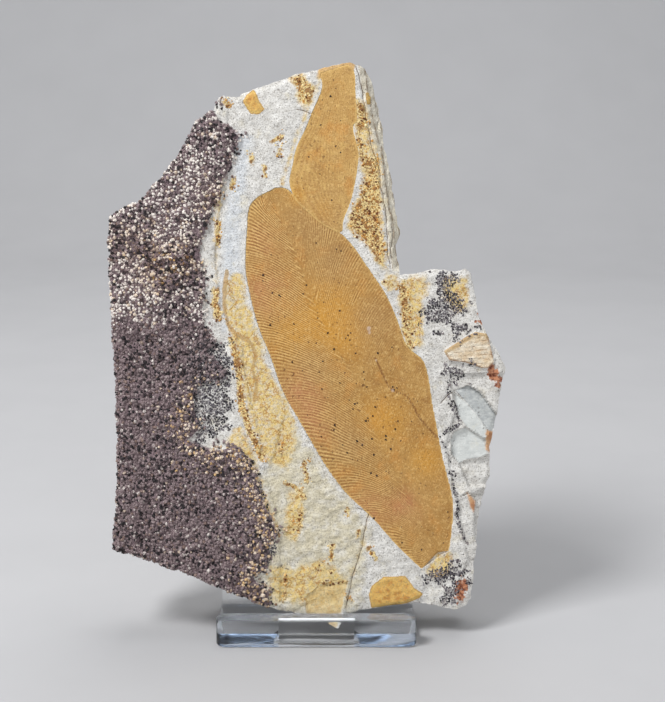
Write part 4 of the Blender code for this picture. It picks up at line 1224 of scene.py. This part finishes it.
# %% [markdown]
# The leaf's finish is iron-stained clay: orange-brown with fine paler vein lines. The lines come from
# the same ridge heights that shaped the surface, kept as an attribute, so colour and relief agree.
# Noise breaks them up, and adds the specks and the worn, granular look of the stained surface.
# %% The leaf's finish
def leaf_finish(name, base, pale, dark, line_strength):
    f = Finish(name)
    fine = f.cloud(0.42, 3.0)
    patches = f.cloud(7.0, 4.0)
    blotch = f.cloud(2.0, 4.0)
    f.coat(1.0, f.shades(patches, -0.5, 0.5, base, dark))
    f.coat(f.step(blotch, 0.0, 0.7) * 0.45, *pale)
    f.coat(f.step(f.cloud(3.2, 4.0), 0.0, 0.6) * 0.4, 150, 108, 62)
    f.coat(f.step(f.cloud(5.0, 3.0), 0.0, 0.6) * 0.5, 206, 142, 66)
    f.coat(f.field("gold") * 0.75, 208, 150, 58)
    f.coat(f.field("olive") * 0.55, 170, 134, 88)
    f.coat(f.field("pink") * (f.step(patches, -0.5, 0.4) * 0.4 + 0.25), 192, 128, 92)

    ridge = f.field("ridge") + fine * 0.15
    broken = f.step(f.cloud(2.2, 4.0), -0.6, 0.3) * 0.45 + 0.55
    f.coat(f.step(ridge, 0.05, 0.8) * broken * line_strength, *pale)
    f.coat(f.step(ridge, -0.05, -0.8) * broken * (line_strength * 0.85), 138, 92, 46)

    f.coat(f.frayed("margin", blotch * 0.5, 0.7, 0.0) * 0.6, 234, 200, 128)
    f.coat(f.frayed("hairline", fine * 0.2, -0.5, -0.1) * 0.75, 110, 64, 30)
    f.coat(f.frayed("scuff", fine * 0.25, -0.15, 0.25) * 0.7, 206, 184, 170)
    f.coat(f.step(fine, 0.0, 0.5) * 0.5, 122, 80, 40)
    f.coat(f.step(f.cloud(0.6, 3.0), 0.0, 0.5) * 0.38, 238, 202, 136)
    specks = f.step(f.cloud(0.9, 0.0), 0.62, 0.75) * f.step(f.cloud(8.0, 2.0), -0.3, 0.5)
    f.coat(specks * 0.7, 88, 52, 28)
    relief = f.bump(ridge * 0.15 + f.cloud(0.4, 3.0) * 0.5, 0.12)
    f.paint(Base_Color=f.colour, Normal=relief, Roughness=0.66 + f.step(fine, -0.6, 0.9) * 0.2)
    f.paint(Specular_IOR_Level=0.3)
    return f


iron_leaf = leaf_finish("iron_stained_leaf", (186, 144, 82), (228, 190, 122), (170, 126, 66), 0.95)
flat = np.concatenate([half["flat"] for half in halves])
share = np.concatenate([half["share"] for half in halves])
ridge = vein_ridges(flat, np.concatenate([half["vein"] for half in halves]), share)
faces = [halves[0]["faces"], halves[1]["faces"] + len(halves[0]["flat"])]
points = to_world(*flat.T, leaf_surface(flat, ridge, share))
large_leaf = make_piece("large_leaf", points, faces, leaf_fields(flat, ridge, LEAF_OUTLINE), iron_leaf)
close_sheet(large_leaf, SKIRT)
hand_over(large_leaf, "rock")

# %% [markdown]
# The second leaf lies higher up, and its lower end covers the tip of the large one. It is smoother,
# with faint lines that run up and outwards, so a plain sheet drawn between its two margins is enough.
# %% The upper leaf's sheet
UPPER_DEPTH = 0.16
UPPER_ROWS = 190
UPPER_COLUMNS = 64
MARGIN_USED = 0.985


def even_curve(corners, count):
    """Points along a margin. They stop just short of the point where the two margins meet."""
    path = smooth_path(corners, 0.3)
    run = np.linspace(0.0, 1.0, len(path))
    wanted = np.linspace(0.0, MARGIN_USED, count)
    return np.column_stack([np.interp(wanted, run, path[:, k]) for k in (0, 1)])


left = even_curve(UPPER_LEAF_LEFT, UPPER_ROWS)[:, None, :]
right = even_curve(UPPER_LEAF_RIGHT, UPPER_ROWS)[:, None, :]
way = np.linspace(0.0, 1.0, UPPER_COLUMNS)[None, :, None]
flat = (left + way * (right - left)).reshape(-1, 2)
along = np.repeat(np.linspace(0.0, 1.0, UPPER_ROWS), UPPER_COLUMNS)
across = np.tile(np.linspace(-1.0, 1.0, UPPER_COLUMNS), UPPER_ROWS)
ridge = 0.6 * np.cos(2.0 * math.pi * (across * 10.0 + 6.0 * along * across ** 2))
depth = UPPER_DEPTH + 0.12 * noise(flat, 14.0, 45) + 0.05 * rough(flat, 4.0, 46)
depth += 0.55 * np.exp(-np.maximum(edge_depth(flat), 0.0) / 0.9)
depth -= 0.012 * ridge
upper_finish = leaf_finish("smooth_leaf", (202, 162, 98), (234, 198, 120), (188, 146, 84), 0.3)
faces = [quads(UPPER_ROWS, UPPER_COLUMNS, flip=False)]
upper_leaf = make_piece("upper_leaf", to_world(*flat.T, depth), faces,
                        leaf_fields(flat, ridge, UPPER_OUTLINE), upper_finish)
close_sheet(upper_leaf, SKIRT)
hand_over(upper_leaf, "rock")

# %% [markdown]
# The dark layer is a coarse, loose-grained crust. Thousands of separate objects would be slow, so all
# grains of a kind are one joined mesh: one small rounded shape of a few dozen faces, repeated by
# array arithmetic with its own turn, size and tone each time.
# %% Many grains as one mesh
def grain_shape(sides=6, bands=2):
    """A ball of few faces: rings of points between two poles."""
    turn = np.arange(sides) * 2.0 * math.pi / sides
    rise = np.linspace(-1.0, 1.0, bands + 2)[1:-1] * 0.5 * math.pi
    rings = [np.column_stack([np.cos(turn + k * 0.4) * math.cos(r), np.sin(turn + k * 0.4) * math.cos(r),
                              np.full(sides, math.sin(r))]) for k, r in enumerate(rise)]
    points = np.vstack([[(0.0, 0.0, -1.0)]] + rings + [[(0.0, 0.0, 1.0)]])
    number = 1 + np.arange(bands * sides).reshape(bands, sides)
    after = np.roll(number, -1, axis=1)
    belt = np.stack([number[:-1], after[:-1], after[1:], number[1:]], axis=-1).reshape(-1, 4)
    belt = np.concatenate([belt[:, [0, 1, 2]], belt[:, [0, 2, 3]]])
    bottom = np.column_stack([np.zeros(sides, dtype=int), after[0], number[0]])
    top = np.column_stack([np.full(sides, len(points) - 1), number[-1], after[-1]])
    return points, np.concatenate([belt, bottom, top])


def random_turns(count, rng):
    """Rotation matrices from random unit quaternions."""
    q = rng.normal(size=(count, 4))
    w, x, y, z = (q / np.linalg.norm(q, axis=1)[:, None]).T
    rows = [[1 - 2 * (y * y + z * z), 2 * (x * y - w * z), 2 * (x * z + w * y)],
            [2 * (x * y + w * z), 1 - 2 * (x * x + z * z), 2 * (y * z - w * x)],
            [2 * (x * z - w * y), 2 * (y * z + w * x), 1 - 2 * (x * x + y * y)]]
    return np.array(rows).transpose(2, 0, 1)


def strew(name, places, radii, fields, finish, seed, jag=0.24):
    """One joined mesh of grains at places (a, b, depth) with radii in millimetres.

    Each grain is the ball with every point moved in or out at random, stretched on three axes,
    turned at random and set in place. A field's value is the same all over a grain.
    """
    rng = np.random.default_rng(seed)
    ball, faces = grain_shape()
    count = len(places)
    bumps = 1.0 + rng.uniform(-jag, jag, (count, len(ball), 1))
    stretch = rng.uniform(0.72, 1.2, (count, 1, 3))
    points = ball[None] * bumps * stretch
    points = np.einsum("nij,nkj->nki", random_turns(count, rng), points) * radii[:, None, None]
    points = points + places[:, None, :]
    numbers = faces[None] + (np.arange(count) * len(ball))[:, None, None]
    spread = {key: np.repeat(values, len(ball)) for key, values in fields.items()}
    flat_points = points.reshape(-1, 3)
    piece = make_piece(name, to_world(*flat_points.T), [numbers.reshape(-1, 3)], spread, finish)
    piece.data.shade_flat()
    hand_over(piece, "rock")
    return piece


def jittered(low, high, cell, rng, shake=0.42):
    """One random place in each square of a lattice: even, but never in rows."""
    counts = np.ceil((np.array(high) - low) / cell).astype(int)
    x, y = np.meshgrid(np.arange(counts[0]), np.arange(counts[1]), indexing="ij")
    middle = np.column_stack([x.ravel(), y.ravel()]) + 0.5
    return (middle + rng.uniform(-shake, shake, middle.shape)) * cell + low


# %% [markdown]
# Seen close, the crust is mauve-grey, near-black and white grains with brown bands across its upper
# half. Each grain has a tone from 0, black, to 1, white, and a warmth. Clusters come from adding slow
# noise to the random tone, and the finish turns tone and warmth into colour.
# %% The grains' finish
def grain_finish(name, dark, middle, light, warm):
    f = Finish(name)
    tone = f.field("tone") + f.cloud(0.35, 2.0) * 0.12
    f.coat(1.0, f.shades(tone, 0.12, 0.42, dark, middle))
    f.coat(f.step(tone, 0.62, 0.9), *light)
    f.colour = f.mix(f.field("warmth"), f.colour, screen(*warm), "MULTIPLY")
    relief = f.bump(f.cloud(0.25, 2.0), 0.05)
    f.paint(Base_Color=f.colour, Normal=relief, Roughness=0.7 - f.step(tone, 0.1, 0.8) * 0.25)
    f.paint(Specular_IOR_Level=0.5)
    return f


crust_finish = grain_finish("dark_crust", (38, 32, 35), (142, 125, 126), (238, 230, 222), (226, 192, 132))

# %% The dark crust, in two pieces so that each stays light
CRUST_CELL = 0.74
CRUST_SPLIT = 88.0
WHITE_CLUSTERS = [
    (-57.0, 96.0, 6.0), (-46.0, 119.0, 5.0), (-41.0, 125.0, 5.0), (-36.0, 134.0, 5.0), (-52.0, 103.0, 4.0),
]
BROWN_BANDS = [
    (-50.0, 111.0, 7.0), (-42.0, 108.0, 6.0), (-58.0, 116.0, 5.0), (-36.0, 112.0, 5.0), (-47.0, 104.0, 5.0),
]


def crust_tones(places, rng):
    """Tone and warmth of each grain: random, plus slow noise and the clusters that the photo shows.

    The upper half has strong contrast. The lower half is an even mauve with black pits, and its right
    border is dusted with cream and ochre grains.
    """
    flat = places[:, :2]
    count = len(flat)
    slow = noise(flat * (0.5, 1.2), 3.0, 71) * 0.2
    lower = smoothstep(-flat[:, 1], -98.0, -82.0)
    strong = rng.beta(0.75, 0.65, count) + slow + 0.3 * clouds(flat, WHITE_CLUSTERS)
    even = np.clip(rng.normal(0.5, 0.12, count), 0.22, 0.74)
    even = np.where(rng.uniform(size=count) < 0.22 + 0.6 * slow, 0.05, even)
    even = np.where(rng.uniform(size=count) < 0.05, 0.78, even)
    tone = strong * (1.0 - lower) + even * lower
    warmth = 0.5 * clouds(flat, BROWN_BANDS) * rng.uniform(0.1, 1.0, count)
    warmth += 0.4 * (rng.uniform(size=count) < 0.12)
    pink = np.exp(-((flat[:, 0] + 29.0) ** 2 + (flat[:, 1] - 128.0) ** 2) / 30.0)
    border = np.exp(-((inside(flat, GRANULAR_LAYER) - 1.5) / 4.5) ** 2)
    border *= smoothstep(-flat[:, 1], -80.0, -60.0)
    dusted = rng.uniform(size=count) < 0.62 * border
    tone = np.where(dusted, rng.uniform(0.66, 1.0, count), tone - 0.2 * border)
    warmth = np.where(dusted, rng.uniform(0.2, 0.95, count), warmth + 0.4 * pink)
    return {"tone": np.clip(tone, 0.0, 1.0), "warmth": np.clip(warmth, 0.0, 1.0)}


rng = np.random.default_rng(7)
places = jittered(outline_low, outline_high, CRUST_CELL, rng)
field = inside(places, GRANULAR_LAYER) + 1.6 * rough(places, 3.0, 72)
chance = smoothstep(field, -1.6, 1.2)
kept = (rng.uniform(size=len(places)) < chance) & (edge_depth(places) > 0.1)
places = places[kept]
radii = rng.uniform(0.34, 0.6, len(places))
depth = -face_height(places) - radii * rng.uniform(-0.5, 0.6, len(places))
places = np.column_stack([places, depth])
tones = crust_tones(places, rng)
above = places[:, 1] > CRUST_SPLIT
for name, part in (("crust_above", above), ("crust_below", ~above)):
    own_tones = {key: values[part] for key, values in tones.items()}
    strew(name, places[part], radii[part], own_tones, crust_finish, 8)

# %% [markdown]
# On the left the crust turns over the broken edge. The wall's rings are already points on that edge,
# so grains are set on those of them that lie within the layer.
# %% The crust on the left edge
EDGE_RINGS = 12

ring_points = np.concatenate(rings[:EDGE_RINGS])
layer = np.minimum(inside(ring_points[:, :2], GRANULAR_LAYER), CRUST_THICKNESS - ring_points[:, 2])
chosen = ring_points[(layer > 0.3) & (rng.uniform(size=len(ring_points)) < 0.6)]
radii = rng.uniform(0.36, 0.6, len(chosen))
strew("crust_edge", chosen, radii, crust_tones(chosen, rng), crust_finish, 9)

# %% [markdown]
# Smaller grains fill the orange-brown streaks, black ones are scattered at the right and beside the
# crust, and dark pin-head dots lie on the leaves. All are strewn the same way, each kind with its own
# field, size and finish.
# %% Brown streaks, black specks and the dots on the leaves
rust_finish = grain_finish("rust_grains", (104, 60, 24), (212, 166, 92), (246, 230, 180), (232, 194, 124))
black_finish = grain_finish("black_specks", (34, 32, 40), (92, 88, 96), (150, 146, 150), (220, 200, 180))
dot_finish = grain_finish("leaf_dots", (36, 22, 14), (60, 36, 20), (92, 58, 32), (230, 200, 170))


def strew_by_field(name, field_of, cell, sizes, spread, finish, seed, sink=0.3, patchy=0.0, whole=1.0):
    """Grains where a field is positive, thinning out over spread millimetres beyond its border."""
    rng = np.random.default_rng(seed)
    places = jittered(outline_low, outline_high, cell, rng)
    field = field_of(places) + patchy * rough(places, 2.2, seed)
    leaf_free = leaf_field(places) < -0.3
    chance = smoothstep(field, -spread, spread) * whole
    kept = (rng.uniform(size=len(places)) < chance) & (edge_depth(places) > 0.2) & leaf_free
    places = places[kept]
    radii = rng.uniform(*sizes, len(places))
    depth = -face_height(places) + radii * sink
    tone = np.clip(rng.beta(0.7, 0.7, len(places)) + 0.3 * noise(places, 1.6, seed + 2), 0.0, 1.0)
    fields = {"tone": tone, "warmth": rng.uniform(0.0, 0.6, len(places))}
    return strew(name, np.column_stack([places, depth]), radii, fields, finish, seed + 1)


strew_by_field("rust_grains", brown_field, 0.62, (0.18, 0.46), 0.6, rust_finish, 21, patchy=1.4, whole=0.6)
strew_by_field("black_specks", speck_field, 0.52, (0.22, 0.46), 0.5, black_finish, 31, whole=0.95)

LEAF_DOTS = [
    (6.1, 113.4), (7.3, 112.8), (-0.1, 115.2), (-16.1, 105.6), (-16.1, 103.8), (-13.3, 100.2),
    (-11.2, 99.6), (-3.1, 102.6), (-4.0, 99.9), (7.0, 94.8), (0.4, 92.7), (-6.8, 90.9), (-13.9, 90.6),
    (10.3, 88.2), (8.8, 86.7), (10.0, 86.1), (9.4, 87.5), (3.4, 88.2), (-0.1, 85.2), (5.2, 83.4),
    (11.8, 82.2), (22.6, 84.0), (18.4, 82.2), (-7.3, 79.5), (0.8, 76.5), (1.9, 79.8), (14.2, 76.5),
    (7.0, 73.2), (15.1, 72.0), (1.6, 71.4), (22.9, 72.0), (24.1, 71.7), (23.3, 71.1), (11.5, 66.9),
    (10.9, 65.4), (12.2, 67.2), (17.6, 66.0), (16.9, 63.3), (15.4, 62.7), (14.8, 61.8), (5.5, 60.6),
    (5.2, 59.1), (20.8, 57.3), (20.8, 56.1), (12.2, 55.8), (13.7, 54.6), (16.6, 56.4), (23.6, 59.4),
    (25.3, 55.8), (22.3, 53.4), (17.2, 51.6), (9.2, 52.2), (7.9, 54.6), (16.3, 46.2), (18.1, 45.3),
    (17.2, 32.7), (25.6, 25.2), (31.6, 23.1), (27.4, 20.4), (5.8, 144.3), (6.8, 143.7), (7.3, 142.5),
    (8.5, 135.0), (4.6, 128.1), (10.7, 137.1), (-2.4, 141.0), (1.2, 150.6), (4.2, 159.3), (-3.9, 131.7),
]
DOT_CELL = 7.5
LARGE_DOTS = (0.28, 0.46)
SMALL_DOTS = (0.14, 0.26)

rng = np.random.default_rng(41)
more = jittered(outline_low, outline_high, DOT_CELL, rng, 0.45)
on_leaf = leaf_field(more) > 1.0
dots = np.vstack([np.array(LEAF_DOTS), more[on_leaf]])
radii = np.where(np.arange(len(dots)) < len(LEAF_DOTS), rng.uniform(*LARGE_DOTS, len(dots)),
                 rng.uniform(*SMALL_DOTS, len(dots)))
on_upper = inside(dots, UPPER_OUTLINE) > 0.0
depth = np.where(on_upper, UPPER_DEPTH, LEAF_DEPTH) + 0.35 * radii
tones = {"tone": rng.uniform(0.0, 0.6, len(dots)), "warmth": rng.uniform(0.0, 0.5, len(dots))}
strew("leaf_dots", np.column_stack([dots, depth]), radii, tones, dot_finish, 42)

# %% [markdown]
# The stand is one piece of clear plastic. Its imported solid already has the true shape, so a merged
# copy of it is shaded smooth and given a see-through finish: full transmission, the plastic's index
# of refraction, a faint blue in its depth, and a hint of scuffing in its roughness.
# %% The clear stand
def clear_finish():
    f = Finish("clear_plastic")
    f.paint(Base_Color=(1.0, 1.0, 1.0), Transmission_Weight=1.0, IOR=1.49)
    haze = f.step(f.cloud(6.0, 4.0), 0.1, 1.2)
    f.paint(Roughness=haze * 0.15 + 0.08, Normal=f.bump(f.cloud(4.0, 1.0), 0.012))
    depth = f.node("VolumeAbsorption", {}, {"Color": (0.45, 0.68, 0.95), "Density": 14.0})
    f.tree.links.new(depth.socket, f.tree.nodes["Material Output"].inputs["Volume"])
    return f


WELD = 0.01
FLAT_ANGLE = math.radians(0.5)
MOULDED_ANGLE = math.radians(32.0)

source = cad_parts["display_stand"]
stand_mesh = source.data.copy()
work = bmesh.new()
work.from_mesh(stand_mesh)
bmesh.ops.remove_doubles(work, verts=work.verts, dist=WELD * MM)
bmesh.ops.dissolve_limit(work, angle_limit=FLAT_ANGLE, verts=work.verts, edges=work.edges)
work.to_mesh(stand_mesh)
work.free()
stand_mesh.name = "clear_stand"
stand_mesh.shade_smooth()
stand_mesh.set_sharp_from_angle(angle=MOULDED_ANGLE)
stand_mesh.materials.clear()
stand_mesh.materials.append(clear_finish().material)
stand = bpy.data.objects.new("clear_stand", stand_mesh)
bpy.context.scene.collection.objects.link(stand)
hand_over(stand, "clear_plastic", "display_stand")

# %% [markdown]
# The studio is a sheet of pale paper: flat under the stand, then curving up behind it, so that no
# horizon shows. One profile is carried sideways.
# %% Floor and backdrop
FLOOR_FRONT, FLOOR_BACK, SWEEP, WALL_TOP, HALF_WIDTH = -0.9, 0.55, 0.35, 1.5, 1.6
FLOOR_GAP = 0.0002

turn = np.linspace(0.0, math.pi / 2, 24)
bend_y = FLOOR_BACK + SWEEP * np.sin(turn)
bend_z = SWEEP * (1.0 - np.cos(turn))
profile = np.column_stack([np.concatenate([[FLOOR_FRONT], bend_y, [FLOOR_BACK + SWEEP]]),
                           np.concatenate([[0.0], bend_z, [WALL_TOP]]) - FLOOR_GAP])
sides = np.linspace(-HALF_WIDTH, HALF_WIDTH, 9)
x, rows = np.meshgrid(sides, np.arange(len(profile)))
points = np.column_stack([x.ravel(), profile[rows.ravel()]])
paper = Finish("studio_paper")
grey = paper.mix(paper.step(paper.cloud(40.0, 2.0), -1.0, 1.0), (0.46, 0.46, 0.47), (0.48, 0.48, 0.49))
paper.paint(Base_Color=grey, Roughness=0.9)
backdrop = make_piece("backdrop", points, [quads(len(profile), len(sides), flip=False)], {}, paper)

# %% [markdown]
# The light is soft and comes from above, a little to the left, as in the photograph: it is steep
# enough over the face to bring out grains and veins. A weaker panel fills from the front, low down at
# the right, and a third behind the plate lights its top edge.
# %% Lights and world
def panel(name, place, target, size, watts):
    """A square soft light that faces its target."""
    light = bpy.data.lights.new(name, "AREA")
    light.size = size
    light.energy = watts
    lamp = bpy.data.objects.new(name, light)
    turn = (Vector(target) - Vector(place)).to_track_quat("-Z", "Y")
    lamp.matrix_world = Matrix.Translation(place) @ turn.to_matrix().to_4x4()
    bpy.context.scene.collection.objects.link(lamp)


FACE_MIDDLE = (0.0, -0.01, 0.085)
panel("key", (-0.45, -0.3, 0.85), FACE_MIDDLE, 0.3, 7.5)
panel("fill", (0.25, -1.0, 0.12), FACE_MIDDLE, 0.8, 3.0)
panel("top_back", (0.1, 0.35, 0.8), (0.0, 0.1, 0.1), 0.5, 3.0)
world = bpy.data.worlds.new("soft_room")
world.use_nodes = True
sky = world.node_tree.nodes["Background"].inputs
sky["Color"].default_value = (0.95, 0.97, 1.0, 1.0)
sky["Strength"].default_value = 0.4
bpy.context.scene.world = world
bpy.context.scene.view_settings.view_transform = "Standard"

# %% [markdown]
# The photograph was taken square to the leaning face: the camera's height angle equals the plate's
# lean. Its distance and lens make one pixel 0.3 mm on the face, as measured in the picture.
# %% Camera
PIXEL = 0.3
PHOTO_WIDTH, PHOTO_HEIGHT = 665, 702
TIP_PIXEL_Y = 627
MIDDLE_PIXEL_X = 316.5
CAMERA_DISTANCE = 450.0
SENSOR = 36.0

up = Vector((0.0, math.sin(LEAN), math.cos(LEAN)))
towards = Vector((0.0, -math.cos(LEAN), math.sin(LEAN)))
centre_a = (PHOTO_WIDTH / 2 - MIDDLE_PIXEL_X) * PIXEL
centre_b = (TIP_PIXEL_Y - PHOTO_HEIGHT / 2) * PIXEL
aim = Vector(to_world(centre_a, centre_b, 0.0))
eye = aim + towards * CAMERA_DISTANCE * MM
camera_data = bpy.data.cameras.new("camera")
camera_data.sensor_fit = "VERTICAL"
camera_data.sensor_height = SENSOR
camera_data.lens = SENSOR * CAMERA_DISTANCE / (PIXEL * PHOTO_HEIGHT)
camera = bpy.data.objects.new("camera", camera_data)
turn = Matrix((Vector((1.0, 0.0, 0.0)), up, towards)).transposed()
camera.matrix_world = Matrix.Translation(eye) @ turn.to_4x4()
bpy.context.scene.collection.objects.link(camera)
bpy.context.scene.camera = camera
print("camera at", tuple(eye), "lens", round(camera_data.lens, 2))
